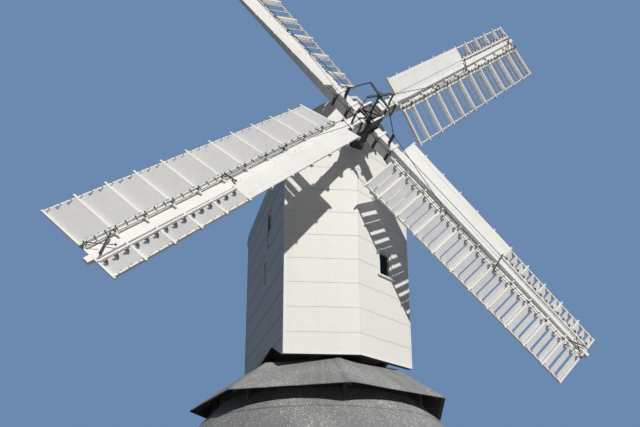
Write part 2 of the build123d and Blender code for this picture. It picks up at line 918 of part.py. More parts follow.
poll_back = rear_stock_setback + stock_depth + whip_depth / 2 + poll_back_wall
shaft_start = poll_back + seat_gap
shaft_rest = neck_start + neck_length
windshaft_lengths = [
    shaft_round(shaft_radius, shaft_start, neck_start - shaft_start),
    shaft_round(neck_radius, neck_start, neck_length),
    shaft_round(shaft_radius, shaft_rest, tail_journal_start - shaft_rest),
    shaft_round(tail_journal_radius, tail_journal_start, tail_journal_length),
]
with BuildPart() as windshaft:
    add(windshaft_lengths)
save(windshaft.part, "windshaft")

# Shared lines of the sails

last_bar = full_bays + 1
board_bar = board_bays + 1
whip_back = -whip_depth / 2
rod_lift = (bar_depth + rod_depth) / 2 - lap


def sail_plane(index):
    """Plane of one sail: X out along the whip, Y to the leading side, Z forwards along the shaft."""
    turn = sail_turn + index * 2 * pi / sail_count
    up = Vector(0, sin(shaft_tilt), cos(shaft_tilt))
    outward = Vector(1, 0, 0) * cos(turn) + up * sin(turn)
    setback = rear_stock_setback if index % 2 else 0.0
    return Plane(origin=hub - shaft_forward * setback, x_dir=outward, z_dir=shaft_forward)


sail_places = [sail_plane(index).location for index in range(sail_count)]


def along_whip(bar):
    """Distance of a bar from the shaft's axis; bar 0 is the heel bar."""
    return heel_bar + (bay_pitch * (bar - 1 + heel_bay) if bar else 0.0)


board_end = along_whip(board_bar)
tip_bar = along_whip(last_bar)


def tapered(first, last, start, end, place):
    """A value that changes evenly from first at start to last at end."""
    return first + (last - first) * (place - start) / (end - start)


def sail_line(reach, place):
    """Point of the twisted sail at a reach from the whip, positive on the leading side."""
    flatter = leading_flatter if reach > 0 else 0.0
    heel = heel_weather - flatter
    tip = tip_weather - flatter
    across = tapered(reach * cos(heel), reach * cos(tip), heel_bar, tip_bar, place)
    forward = tapered(reach * sin(heel), reach * sin(tip), heel_bar, tip_bar, place)
    return Vector(place, across, forward + bar_rise)


def reach_at(reach, place):
    """Distance from the whip's middle line to the sail line of a reach at a place."""
    point = sail_line(reach, place)
    return hypot(point.Y, point.Z - bar_rise)


def bar_way(side, place):
    """Unit direction of a bar away from the whip at a place along it."""
    point = sail_line(side, place)
    return Vector(0, point.Y, point.Z - bar_rise).normalized()


def lath(reach, width, depth, lift, start, end):
    """A straight lath along the sail at a reach from the whip, raised off the bars by lift."""
    side = 1 if reach > 0 else -1
    first = sail_line(reach, start)
    run = sail_line(reach, end) - first
    across = bar_way(side, (start + end) / 2) * side
    forward = Vector(1, 0, 0).cross(across)
    with BuildPart() as strip:
        with BuildSketch(Plane(origin=first + forward * lift, x_dir=across, z_dir=run)):
            Rectangle(width, depth)
        extrude(amount=run.length)
    return strip.part


def sail_bar(reach, place):
    """A bar from the whip's middle to a little past the sail's edge."""
    side = 1 if reach > 0 else -1
    with BuildPart() as bar:
        with BuildSketch(Plane(origin=(place, 0, bar_rise), x_dir=(1, 0, 0), z_dir=bar_way(side, place))):
            Rectangle(bar_width, bar_depth)
        extrude(amount=reach_at(reach, place) + bar_nib)
    return bar.part


# One sail frame: whip, bars, hemlaths, inner rails and shutter rods, halved together as one lattice

lath_start = board_end + bar_width / 4
frame_pieces = [sail_bar(-trailing_width, along_whip(bar)) for bar in range(last_bar + 1)]
frame_pieces += [sail_bar(leading_width, along_whip(bar)) for bar in range(last_bar + 1)]
frame_pieces += [
    lath(-trailing_width, hemlath_width, hemlath_depth, 0, heel_bar, tip_bar),
    lath(-inner_rail, rail_width, hemlath_depth, 0, heel_bar, tip_bar),
    lath(-rod_line, rod_width, rod_depth, rod_lift, heel_bar - rod_overhang, tip_bar),
    lath(leading_width, hemlath_width, hemlath_depth, 0, lath_start, tip_bar),
    lath(leading_rail, rail_width, hemlath_depth, 0, lath_start, tip_bar),
    lath(leading_rod_line, rod_width, rod_depth, rod_lift, lath_start, tip_bar),
]
with BuildPart() as sail_frame:
    with BuildSketch(Plane.XY.offset(whip_back)):
        with BuildLine():
            Polyline(
                (whip_heel, -whip_width / 2),
                (whip_tip, -whip_tip_width / 2),
                (whip_tip, whip_tip_width / 2),
                (whip_heel, whip_width / 2),
                close=True,
            )
        make_face()
    extrude(amount=whip_depth)
    with BuildSketch(Plane.XZ):
        with BuildLine():
            Polyline(
                (whip_heel, whip_back),
                (whip_tip, whip_back),
                (whip_tip, whip_back + whip_tip_depth),
                (whip_heel, whip_back + whip_depth),
                close=True,
            )
        make_face()
    extrude(amount=whip_width, both=True, mode=Mode.INTERSECT)
    add(frame_pieces)

for index in range(sail_count):
    with BuildPart() as placed_frame:
        with Locations(sail_places[index]):
            add(sail_frame.part)
    save(placed_frame.part, f"sail_frame_{index + 1}")

# Shutters: thin boards across the bays, all open by one angle, front faces tipped towards the tip


def shutter(inner, outer, place):
    """One open shutter between two laths, each given by its reach from the whip."""
    side = 1 if outer > 0 else -1
    middle_place = (along_whip(board_bar if side > 0 else 0) + tip_bar) / 2
    lean = bar_way(side, place).get_angle(bar_way(side, middle_place))
    end_gap = shutter_end_gap + hemlath_depth / 2 * tan(radians(lean))
    inner_end = reach_at(inner, place) + rail_width / 2 + end_gap
    outer_end = reach_at(outer, place) - hemlath_width / 2 - end_gap
    sweep = bar_way(side, place)
    forward = Vector(1, 0, 0).cross(sweep) * side
    face = forward * cos(shutter_open) + Vector(1, 0, 0) * sin(shutter_open)
    middle = Vector(place, 0, bar_rise) + sweep * ((inner_end + outer_end) / 2)
    with BuildPart() as board:
        with BuildSketch(Plane(origin=middle, x_dir=sweep, z_dir=face)):
            Rectangle(outer_end - inner_end, shutter_width)
        extrude(amount=shutter_thickness / 2, both=True)
    return board.part


shutter_set = []
for bay in range(last_bar):
    bay_length = along_whip(bay + 1) - along_whip(bay)
    bay_shutters = shutters_per_bay if bay else shutters_per_bay - 1
    for number in range(bay_shutters):
        place = along_whip(bay) + bay_length * (number + 0.5) / bay_shutters
        shutter_set.append(shutter(-inner_rail, -trailing_width, place))
        if bay >= board_bar:
            shutter_set.append(shutter(leading_rail, leading_width, place))

with BuildPart() as sail_shutters:
    for place in sail_places:
        with Locations(place):
            add(shutter_set)
save(sail_shutters.part, "sail_shutters")

# Leading boards on the front of the bars, from the heel to the fifth bay

board_middle = (board_inner + leading_width + bar_nib / 2) / 2
board_width = leading_width + bar_nib / 2 - board_inner
with BuildPart() as leading_board:
    for place in (board_heel, board_end):
        across = bar_way(1, place)
        forward = Vector(1, 0, 0).cross(across)
        lift = bar_depth / 2 + seat_gap + board_thickness / 2
        middle = Vector(place, 0, bar_rise) + across * board_middle + forward * lift
        with BuildSketch(Plane(origin=middle, x_dir=across, z_dir=(1, 0, 0))):
            Rectangle(board_width, board_thickness)
    loft(ruled=True)

with BuildPart() as leading_boards:
    for place in sail_places:
        with Locations(place):
            add(leading_board.part)
save(leading_boards.part, "leading_boards")

# Two stocks, one behind the other, through the poll end

stock_front = whip_back - seat_gap
with BuildPart() as stock:
    with BuildSketch(Plane.XY.offset(stock_front - stock_depth)):
        with BuildLine():
            Polyline(
                (-stock_reach, -stock_tip_width / 2),
                (-stock_straight, -stock_width / 2),
                (stock_straight, -stock_width / 2),
                (stock_reach, -stock_tip_width / 2),
                (stock_reach, stock_tip_width / 2),
                (stock_straight, stock_width / 2),
                (-stock_straight, stock_width / 2),
                (-stock_reach, stock_tip_width / 2),
                close=True,
            )
        make_face()
    extrude(amount=stock_depth)
    with BuildSketch(Plane.XZ):
        with BuildLine():
            Polyline(
                (-stock_reach, stock_front),
                (stock_reach, stock_front),
                (stock_reach, stock_front - stock_tip_depth),
                (stock_straight, stock_front - stock_depth),
                (-stock_straight, stock_front - stock_depth),
                (-stock_reach, stock_front - stock_tip_depth),
                close=True,
            )
        make_face()
    extrude(amount=stock_width, both=True, mode=Mode.INTERSECT)

with BuildPart() as stocks:
    for place in sail_places[:2]:
        with Locations(place):
            add(stock.part)
save(stocks.part, "stocks")

with BuildPart() as poll_block:
    with Locations((0, 0, -poll_back)):
        Box(2 * poll_half_width, 2 * poll_half_width, poll_back + poll_front, align=stand)
    front_slot = stock_front - stock_depth / 2
    slot_width = stock_width + 2 * seat_gap
    slot_depth = stock_depth + 2 * seat_gap
    with Locations((0, 0, front_slot)):
        Box(4 * poll_half_width, slot_width, slot_depth, mode=Mode.SUBTRACT)
    with Locations((0, 0, front_slot - rear_stock_setback)):
        Box(slot_width, 4 * poll_half_width, slot_depth, mode=Mode.SUBTRACT)

with BuildPart() as poll_end:
    with Locations(sail_places[0]):
        add(poll_block.part)
save(poll_end.part, "poll_end")

# Iron clamps that hold each whip to its stock

with BuildPart() as sail_clamps:
    for place in clamp_places:
        thick_end = place - clamp_band / 2
        across = tapered(stock_width, stock_tip_width, stock_straight, stock_reach, thick_end)
        behind = tapered(stock_depth, stock_tip_depth, stock_straight, stock_reach, thick_end)
        ahead = tapered(whip_depth, whip_tip_depth, whip_heel, whip_tip, thick_end)
        hole_width = across + 2 * seat_gap
        hole_depth = behind + ahead + 3 * seat_gap
        hole_middle = whip_back + (ahead - behind - seat_gap) / 2
        with BuildSketch(Plane.YZ.offset(place)):
            with Locations((0, hole_middle)):
                Rectangle(hole_width + 2 * clamp_plate, hole_depth + 2 * clamp_plate)
                Rectangle(hole_width, hole_depth, mode=Mode.SUBTRACT)
        extrude(amount=clamp_band / 2, both=True)

with BuildPart() as stock_clamps:
    for place in sail_places:
        with Locations(place):
            add(sail_clamps.part)
save(stock_clamps.part, "stock_clamps")

# Striking gear: the rod out of the poll end, the spider on it, and a link and crank for each sail


def straight_bar(first, last, radius, sides):
    """A bar of few sides between two points."""
    with BuildPart() as bar:
        with BuildSketch(Plane(origin=first, z_dir=last - first)):
            RegularPolygon(radius, sides)
        extrude(amount=(last - first).length)
    return bar.part


def crank_block(index):
    """The upright crank on one whip's front face."""
    heel_side = crank_place - crank_width / 2
    foot = whip_back + tapered(whip_depth, whip_tip_depth, whip_heel, whip_tip, heel_side)
    with BuildPart() as crank:
        with Locations((crank_place, 0, foot + seat_gap)):
            Box(crank_width, crank_plate, crank_height, align=stand)
    return sail_places[index] * crank.part


spider_plane = Plane(origin=hub, x_dir=(1, 0, 0), z_dir=shaft_forward)
rod_foot = spider_plane.from_local_coords(Vector(0, 0, poll_front + seat_gap))
spider_front = spider_plane.from_local_coords(Vector(0, 0, spider_forward + spider_boss_length / 2))
spider_back = spider_plane.from_local_coords(Vector(0, 0, spider_forward - spider_boss_length / 2))
spider_middle = spider_plane.from_local_coords(Vector(0, 0, spider_forward))
gear_pieces = [
    straight_bar(rod_foot, spider_front, striking_rod_radius, 12),
    straight_bar(spider_back, spider_front, spider_boss_radius, 12),
]
for index in range(sail_count):
    turn = sail_turn + spider_turn + index * 2 * pi / sail_count
    arm_end = Vector(spider_reach * cos(turn), spider_reach * sin(turn), spider_forward)
    arm_tip = spider_plane.from_local_coords(arm_end)
    link_end = Vector(crank_place, 0, whip_back + whip_depth + crank_height - link_drop)
    crank_top = sail_plane(index).from_local_coords(link_end)
    with BuildPart() as arm:
        with BuildSketch(Plane(origin=spider_middle, x_dir=shaft_forward, z_dir=arm_tip - spider_middle)):
            Rectangle(spider_arm_depth, spider_arm_width)
        extrude(amount=spider_reach)
    gear_pieces.append(arm.part)
    gear_pieces.append(straight_bar(arm_tip, crank_top, link_radius, 6))
    gear_pieces.append(crank_block(index))

with BuildPart() as striking_gear:
    add(gear_pieces)
save(striking_gear.part, "striking_gear")
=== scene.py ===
import json
from math import acos, asin, atan2, ceil, cos, floor, pi, radians, sin, sqrt, tan

import bmesh
import bpy
from mathutils import Matrix, Vector, noise


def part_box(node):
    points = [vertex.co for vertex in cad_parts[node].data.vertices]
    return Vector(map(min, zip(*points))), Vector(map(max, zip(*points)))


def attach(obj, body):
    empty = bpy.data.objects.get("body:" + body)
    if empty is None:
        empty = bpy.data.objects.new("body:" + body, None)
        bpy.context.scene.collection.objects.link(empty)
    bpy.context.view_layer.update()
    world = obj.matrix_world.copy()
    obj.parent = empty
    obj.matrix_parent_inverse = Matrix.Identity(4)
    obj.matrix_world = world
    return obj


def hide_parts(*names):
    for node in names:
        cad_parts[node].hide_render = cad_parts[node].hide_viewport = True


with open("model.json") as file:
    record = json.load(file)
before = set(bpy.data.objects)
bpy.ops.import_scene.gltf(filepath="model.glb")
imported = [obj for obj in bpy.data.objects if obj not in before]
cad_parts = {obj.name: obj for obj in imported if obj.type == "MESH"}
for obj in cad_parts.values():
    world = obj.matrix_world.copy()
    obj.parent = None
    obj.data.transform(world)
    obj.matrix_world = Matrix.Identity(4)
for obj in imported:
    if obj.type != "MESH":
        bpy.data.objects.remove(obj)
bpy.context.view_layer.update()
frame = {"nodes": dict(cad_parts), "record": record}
scene = bpy.context.scene
scene.view_settings.view_transform = "Standard"

# Camera: held low in front of the mill and to its left, looking up past the roundhouse roof, so its
# frame is the upper part of a taller one. The image is 640 by 427 pixels.

camera_place = (-5.1667, -12.8948, 1.6)
camera_rise = 11.03
camera_turn = -20.68
focal_pixels = 460.17
image_width = 640
principal_point = (311.51, 419.22)
image_middle = (320.0, 213.5)
film_width = 36.0
camera_data = bpy.data.cameras.new("view_from_below")
camera = bpy.data.objects.new("view_from_below", camera_data)
scene.collection.objects.link(camera)
camera.location = camera_place
camera.rotation_euler = (radians(90 + camera_rise), 0, radians(camera_turn))
camera_data.sensor_width = film_width
camera_data.lens = focal_pixels / image_width * film_width
camera_data.shift_x = (image_middle[0] - principal_point[0]) / image_width
camera_data.shift_y = (principal_point[1] - image_middle[1]) / image_width
camera_data.clip_end = 400
scene.camera = camera


# Ground and light: a pale floor for the mill to stand on, a plain blue sky, and one key light from the
# front, a little to the right, that throws the sails' shadows down and left across the breast.

ground_reach = 70.0
ground_seen = (0.7, 0.71, 0.72, 1)
ground_bounce = (0.24, 0.255, 0.28, 1)
ground_roughness = 0.95
sky_colour = (0.15, 0.25, 0.43, 1)
sky_light = (0.6, 0.7, 0.85, 1)
sky_strength = 0.09
key_strength = 3.5
key_direction = (-0.12, 1.0, -0.7)
key_colour = (1.0, 0.965, 0.9)
key_spread = radians(1.2)


def add(tree, kind, inputs=None, out=0, **settings):
    """A node in a tree, its inputs given as values or as links; returns one of its outputs."""
    made = tree.nodes.new(kind)
    for name, value in settings.items():
        setattr(made, name, value)
    for name, value in (inputs or {}).items():
        if isinstance(value, bpy.types.NodeSocket):
            tree.links.new(value, made.inputs[name])
        else:
            made.inputs[name].default_value = value
    return made.outputs[out]


def seen_share(tree):
    """1 for rays that the camera sees directly, in a mirror or through glass, and 0 for light."""
    seen = add(tree, "ShaderNodeLightPath", out="Is Camera Ray")
    rays = tree.nodes[-1].outputs
    seen = add(tree, "ShaderNodeMath", {0: seen, 1: rays["Is Glossy Ray"]}, operation="MAXIMUM")
    return add(tree, "ShaderNodeMath", {0: seen, 1: rays["Is Transmission Ray"]}, operation="MAXIMUM")


def link_mesh(name, mesh):
    """An object for a mesh, standing at the origin."""
    piece = bpy.data.objects.new(name, mesh)
    scene.collection.objects.link(piece)
    return piece


ground_mesh = bpy.data.meshes.new("ground")
ground_corners = [(-ground_reach, -ground_reach, 0), (ground_reach, -ground_reach, 0)]
ground_corners += [(ground_reach, ground_reach, 0), (-ground_reach, ground_reach, 0)]
ground_mesh.from_pydata(ground_corners, [], [(0, 1, 2, 3)])
ground = link_mesh("ground", ground_mesh)
ground_finish = bpy.data.materials.new("pale_ground")
ground_finish.use_nodes = True
ground_tree = ground_finish.node_tree
ground_shader = ground_tree.nodes["Principled BSDF"]
ground_shader.inputs["Roughness"].default_value = ground_roughness
ground_mix = {0: seen_share(ground_tree), 6: ground_bounce, 7: ground_seen}
ground_colour = add(ground_tree, "ShaderNodeMix", ground_mix, 2, data_type="RGBA")
ground_tree.links.new(ground_colour, ground_shader.inputs["Base Color"])
ground.data.materials.append(ground_finish)

sky = bpy.data.worlds.new("even_sky")
sky.use_nodes = True
scene.world = sky
sky_tree = sky.node_tree
light_sky = add(sky_tree, "ShaderNodeBackground", {"Color": sky_light, "Strength": sky_strength})
seen_sky = add(sky_tree, "ShaderNodeBackground", {"Color": sky_colour, "Strength": 1.0})
both_skies = add(sky_tree, "ShaderNodeMixShader", {0: seen_share(sky_tree), 1: light_sky, 2: seen_sky})
sky_tree.links.new(both_skies, sky_tree.nodes["World Output"].inputs["Surface"])

key_data = bpy.data.lights.new("key_light", "SUN")
key_data.energy = key_strength
key_data.angle = key_spread
key_data.color = key_colour
key = bpy.data.objects.new("key_light", key_data)
key.rotation_euler = Vector(key_direction).to_track_quat("-Z", "Y").to_euler()
scene.collection.objects.link(key)


# Roundhouse wall: red brick laid in courses with lime mortar, stretchers and headers by turns. The
# frame's wall is the mortar bed; the bricks stand a little proud of it, with soldier bricks over the
# doorways and windows.


def finish(name, metallic=0.0):
    """A new node material: itself, its tree and the coordinates of what wears it."""
    material = bpy.data.materials.new(name)
    material.use_nodes = True
    tree = material.node_tree
    tree.nodes["Principled BSDF"].inputs["Metallic"].default_value = metallic
    return material, tree, add(tree, "ShaderNodeTexCoord", out="Object")


def cloud(tree, place, scale, detail=4.0, stretch=(1, 1, 1), rough=0.5):
    """Noise, drawn out by a stretch in each direction."""
    spot = add(tree, "ShaderNodeMapping", {"Vector": place, "Scale": stretch})
    inputs = {"Vector": spot, "Scale": scale, "Detail": detail, "Roughness": rough}
    return add(tree, "ShaderNodeTexNoise", inputs)


def axis(tree, place, letter):
    """One coordinate of a place or of a direction."""
    return add(tree, "ShaderNodeSeparateXYZ", {0: place}, letter)


def counted(tree, how, first, second=0.0):
    """Arithmetic on two values."""
    return add(tree, "ShaderNodeMath", {0: first, 1: second}, operation=how)


def taken(tree, value, low, high, first=0.0, last=1.0):
    """A value between low and high, moved to the range from first to last and held at its ends."""
    inputs = {"Value": value, "From Min": low, "From Max": high, "To Min": first, "To Max": last}
    return add(tree, "ShaderNodeMapRange", inputs)


def over(tree, share, under, top):
    """One colour laid over another by a share; each is a link, or red, green and blue."""
    under, top = ((*colour, 1) if isinstance(colour, tuple) else colour for colour in (under, top))
    return add(tree, "ShaderNodeMix", {0: share, 6: under, 7: top}, 2, data_type="RGBA")


def laid(tree, colour, *coats):
    """A colour under coats, each (value, low, high, most, tint): bare at low, most of the tint at high."""
    for value, low, high, most, tint in coats:
        colour = over(tree, taken(tree, value, low, high, 0.0, most), colour, tint)
    return colour


def steps(tree, value, colours):
    """A colour ramp with evenly spaced colours."""
    ramp = tree.nodes.new("ShaderNodeValToRGB")
    tree.links.new(value, ramp.inputs[0])
    elements = ramp.color_ramp.elements
    while len(elements) < len(colours):
        elements.new(0.5)
    for number, colour in enumerate(colours):
        elements[number].position = number / (len(colours) - 1)
        elements[number].color = (*colour, 1)
    return ramp.outputs[0]


def worn(material, colour, rough, height=None, depth=0.002):
    """Gives a material its colour, its roughness and a relief of real depth, and returns it."""
    tree = material.node_tree
    inputs = tree.nodes["Principled BSDF"].inputs
    tree.links.new(colour, inputs["Base Color"])
    tree.links.new(taken(tree, *rough), inputs["Roughness"])
    if height is not None:
        tree.links.new(add(tree, "ShaderNodeBump", {"Height": height, "Distance": depth}), inputs["Normal"])
    return material


def lime_finish():
    """Lime mortar with sand, damp near the ground."""
    material, tree, place = finish("lime_mortar")
    sand = cloud(tree, place, 240.0, 3.0)
    patches = (cloud(tree, place, 2.2, 5.0), 0.35, 0.7, 1.0, (0.38, 0.35, 0.3))
    damp = (axis(tree, place, "Z"), 0.7, 0.0, 0.65, (0.16, 0.17, 0.12))
    colour = laid(tree, (0.5, 0.46, 0.38), patches, damp)
    return worn(material, colour, (sand, 0.3, 0.7, 0.85, 0.98), sand)


def brick_finish():
    """Wire-cut red brick, each brick of its own tone, with burnt and pale patches and moss low down."""
    material, tree, place = finish("red_brick")
    tone = add(tree, "ShaderNodeAttribute", out="Fac", attribute_name="tone")
    burnt, pale = (0.14, 0.055, 0.04), (0.45, 0.2, 0.11)
    reds = (burnt, (0.3, 0.1, 0.06), (0.38, 0.14, 0.075), (0.33, 0.11, 0.065), pale)
    speck = cloud(tree, place, 60.0, 6.0, rough=0.7)
    pale_specks = (speck, 0.45, 0.75, 0.5, (0.5, 0.3, 0.2))
    soot = (cloud(tree, place, 1.1, 5.0, (1, 1, 0.4)), 0.5, 0.8, 0.55, (0.09, 0.06, 0.05))
    colour = laid(tree, steps(tree, tone, reds), pale_specks, soot)
    low = taken(tree, axis(tree, place, "Z"), 0.0, 0.8, 0.6, 0.0)
    moss = counted(tree, "MULTIPLY", low, taken(tree, speck, 0.35, 0.6))
    colour = over(tree, moss, colour, (0.08, 0.1, 0.045))
    return worn(material, colour, (speck, 0.2, 0.8, 0.75, 0.95), speck, 0.003)


def paint_node(node, material):
    """Gives a frame node its material."""
    mesh = frame["nodes"][node].data
    mesh.materials.clear()
    mesh.materials.append(material)


def attribute_input(tree, name, kind):
    """A value that each spot carries, read inside a geometry tree."""
    return add(tree, "GeometryNodeInputNamedAttribute", {"Name": name}, data_type=kind)


def bake_tree(name, mesh, sizes, build, material):
    """Runs a geometry tree with named sizes on a mesh and keeps the result as a plain mesh."""
    source = link_mesh(name, mesh)
    tree = bpy.data.node_groups.new(name, "GeometryNodeTree")
    tree.interface.new_socket("Spots", in_out="INPUT", socket_type="NodeSocketGeometry")
    tree.interface.new_socket("Shape", in_out="OUTPUT", socket_type="NodeSocketGeometry")
    names = {}
    for size in sizes:
        socket = tree.interface.new_socket(size, in_out="INPUT", socket_type="NodeSocketFloat")
        names[size] = socket.identifier
    given = tree.nodes.new("NodeGroupInput").outputs
    shape = add(tree, "GeometryNodeRealizeInstances", {"Geometry": build(tree, given)})
    shape = add(tree, "GeometryNodeSetMaterial", {"Geometry": shape, "Material": material})
    result = tree.nodes.new("NodeGroupOutput")
    tree.links.new(shape, result.inputs[0])
    modifier = source.modifiers.new(name, "NODES")
    modifier.node_group = tree
    for size, value in sizes.items():
        modifier[names[size]] = float(value)
    depsgraph = bpy.context.evaluated_depsgraph_get()
    evaluated = source.evaluated_get(depsgraph)
    baked = bpy.data.meshes.new_from_object(evaluated, preserve_all_data_layers=True, depsgraph=depsgraph)
    source.modifiers.clear()
    source.data = baked
    if not baked.materials:
        baked.materials.append(material)
    return source


def on_body(piece, body):
    """Lets a finished piece ride on a body."""
    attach(piece, body)
    return piece


def repeat(name, spots, unit, size, material, body, seed=1):
    """A unit of a width and a thickness, repeated at spots as one piece on a body.

    Each spot holds its middle, the unit's way along, its way outward and its length.
    """
    mesh = bpy.data.meshes.new(name)
    mesh.from_pydata([spot[0] for spot in spots], [], [])
    for attribute, column in (("along", 1), ("outward", 2)):
        values = [part for spot in spots for part in spot[column]]
        mesh.attributes.new(attribute, "FLOAT_VECTOR", "POINT").data.foreach_set("vector", values)
    mesh.attributes.new("run", "FLOAT", "POINT").data.foreach_set("value", [spot[3] for spot in spots])

    def build(tree, given):
        axes = {
            "Primary Axis": attribute_input(tree, "along", "FLOAT_VECTOR"),
            "Secondary Axis": attribute_input(tree, "outward", "FLOAT_VECTOR"),
        }
        turn = add(tree, "FunctionNodeAxesToRotation", axes, primary_axis="X", secondary_axis="Z")
        run = attribute_input(tree, "run", "FLOAT")
        scale = add(tree, "ShaderNodeCombineXYZ", {"X": run, "Y": 1.0, "Z": 1.0})
        inputs = {"Points": given["Spots"], "Instance": unit(tree, given), "Rotation": turn, "Scale": scale}
        copies = add(tree, "GeometryNodeInstanceOnPoints", inputs)
        tone = add(tree, "FunctionNodeRandomValue", {"Seed": seed}, 1, data_type="FLOAT")
        inputs = {"Geometry": copies, "Name": "tone", "Value": tone}
        return add(tree, "GeometryNodeStoreNamedAttribute", inputs, data_type="FLOAT", domain="INSTANCE")

    sizes = {"Width": size[0], "Thickness": size[1]}
    return on_body(bake_tree(name, mesh, sizes, build, material), body)


def block(tree, given):
    """A block of unit length, as wide and as thick as its tree's sizes say."""
    size = add(tree, "ShaderNodeCombineXYZ", {"X": 1.0, "Y": given["Width"], "Z": given["Thickness"]})
    return add(tree, "GeometryNodeMeshCube", {"Size": size})


up = Vector((0, 0, 1))
wall_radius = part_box("roundhouse_wall")[1].y
wall_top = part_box("roundhouse_wall")[1].z
brick_length = 0.215
header_length = 0.1025
brick_height = 0.065
course_rise = 0.075
mortar_joint = 0.01
brick_proud = 0.006
brick_sunk = 0.014
least_brick = 0.035
doorway_half = 0.48
doorway_top = 2.05
window_half = 0.31
window_sill_height = 1.3
window_head_height = 2.12
soldier_margin = 0.09
doorway_turns = (0.0, pi)
window_turns = tuple(pi / 4 + quarter * pi / 2 for quarter in range(4))
wall_openings = [(turn, doorway_half, 0.0, doorway_top) for turn in doorway_turns]
wall_openings += [(turn, window_half, window_sill_height, window_head_height) for turn in window_turns]


def ring_spot(turn, radius, height):
    """A point, the tangent and the outward direction on a circle about the post."""
    outward = Vector((cos(turn), sin(turn), 0))
    return outward * radius + up * height, Vector((-sin(turn), cos(turn), 0)), outward


def free_stretches(height):
    """Stretches of the wall's face at a height that no opening, arch or sill takes, as arc lengths."""
    blocked = []
    for turn, half, bottom, top in wall_openings:
        if bottom - course_rise < height < top:
            margin = 0.0 if height > bottom else soldier_margin
        elif top <= height < top + brick_length:
            margin = soldier_margin
        else:
            continue
        reach = asin((half + margin) / wall_radius)
        blocked.append(((turn - reach) * wall_radius, (turn + reach) * wall_radius))
    around = 2 * pi * wall_radius
    if not blocked:
        return [(pi / 2 * wall_radius, pi / 2 * wall_radius + around)]
    blocked.sort()
    ends = [end for start, end in blocked]
    starts = [start for start, end in blocked[1:]] + [blocked[0][0] + around]
    return list(zip(ends, starts))


brick_pairs = round(2 * pi * wall_radius / (brick_length + header_length + 2 * mortar_joint))
pair_length = 2 * pi * wall_radius / brick_pairs
brick_joint = (pair_length - brick_length - header_length) / 2
brick_middle = wall_radius + (brick_proud - brick_sunk) / 2
brick_spots = []
for course in range(floor(wall_top / course_rise)):
    height = (course + 0.5) * course_rise
    shift = (course % 2) * pair_length / 2
    for start, end in free_stretches(height):
        for pair in range(floor((start - shift) / pair_length), ceil((end - shift) / pair_length)):
            for place, length in ((0.0, brick_length), (brick_length + brick_joint, header_length)):
                first = max(pair * pair_length + shift + place, start + brick_joint / 4)
                last = min(pair * pair_length + shift + place + length, end - brick_joint / 4)
                if last - first > least_brick:
                    turn = (first + last) / 2 / wall_radius
                    brick_spots.append((*ring_spot(turn, brick_middle, height), last - first))

soldier_pitch = 0.0755
soldier_fan = 0.28
soldier_length = brick_length - mortar_joint
for turn, half, bottom, top in wall_openings:
    span = 2 * (half + soldier_margin)
    count = floor(span / soldier_pitch)
    for number in range(count):
        aside = (number - (count - 1) / 2) / count
        height = top + (brick_length + mortar_joint) / 2
        middle, tangent, outward = ring_spot(turn + aside * span / wall_radius, brick_middle, height)
        upright = (up + tangent * aside * soldier_fan).normalized()
        brick_spots.append((middle, upright, outward, soldier_length))

paint_node("roundhouse_wall", lime_finish())
brick_size = (brick_height, brick_proud + brick_sunk)
repeat("wall_bricks", brick_spots, block, brick_size, brick_finish(), "roundhouse", seed=7)


# Window sills of the roundhouse: a sawn stone slab in each of the four windows, bedded in mortar, its
# front edge standing out of the wall to throw the rain clear.


def add_box(shape, middle, along, outward, size):
    """A box in a mesh: its middle, two of its directions, and its size along, across and outward."""
    along = Vector(along).normalized()
    outward = Vector(outward).normalized()
    across = outward.cross(along).normalized()
    turn = Matrix((along, across, outward)).transposed().to_4x4()
    matrix = Matrix.Translation(Vector(middle)) @ turn @ Matrix.Diagonal((*size, 1))
    bmesh.ops.create_cube(shape, size=1, matrix=matrix)


def link_shape(name, shape, material):
    """Turns a mesh under construction into an object with its material."""
    mesh = bpy.data.meshes.new(name)
    shape.to_mesh(mesh)
    shape.free()
    mesh.materials.append(material)
    return link_mesh(name, mesh)


def put_together(name, shape, material, body, chamfer=0.0):
    """Turns a mesh under construction into a piece on a body, its sharp edges eased."""
    bmesh.ops.recalc_face_normals(shape, faces=shape.faces[:])
    if chamfer:
        sharp = [edge for edge in shape.edges if edge.is_manifold and edge.calc_face_angle() > 0.5]
        bmesh.ops.bevel(shape, geom=sharp, offset=chamfer, segments=1, affect="EDGES", clamp_overlap=True)
    return on_body(link_shape(name, shape, material), body)


def stone_finish():
    """Sawn grey-buff stone with lichen."""
    material, tree, place = finish("sill_stone")
    grain = cloud(tree, place, 90.0, 6.0)
    uneven = (grain, 0.3, 0.7, 1.0, (0.3, 0.29, 0.26))
    lichen = (cloud(tree, place, 7.0, 4.0), 0.55, 0.75, 0.6, (0.5, 0.5, 0.36))
    colour = laid(tree, (0.42, 0.4, 0.34), uneven, lichen)
    return worn(material, colour, (grain, 0.2, 0.8, 0.75, 0.95), grain)


sill_length = 0.78
sill_height = 0.072
sill_depth = 0.2
sill_reach = 0.045
sill_shape = bmesh.new()
for turn in window_turns:
    sill_middle = wall_radius + sill_reach - sill_depth / 2
    middle, tangent, outward = ring_spot(turn, sill_middle, window_sill_height - sill_height / 2)
    add_box(sill_shape, middle, tangent, outward, (sill_length, sill_height, sill_depth))
put_together("window_sills", sill_shape, stone_finish(), "roundhouse", 0.006)


# Windows of the roundhouse: the frame's own white painted sashes with their glazing behind. The glass
# is old and clear, with a little dust on it.


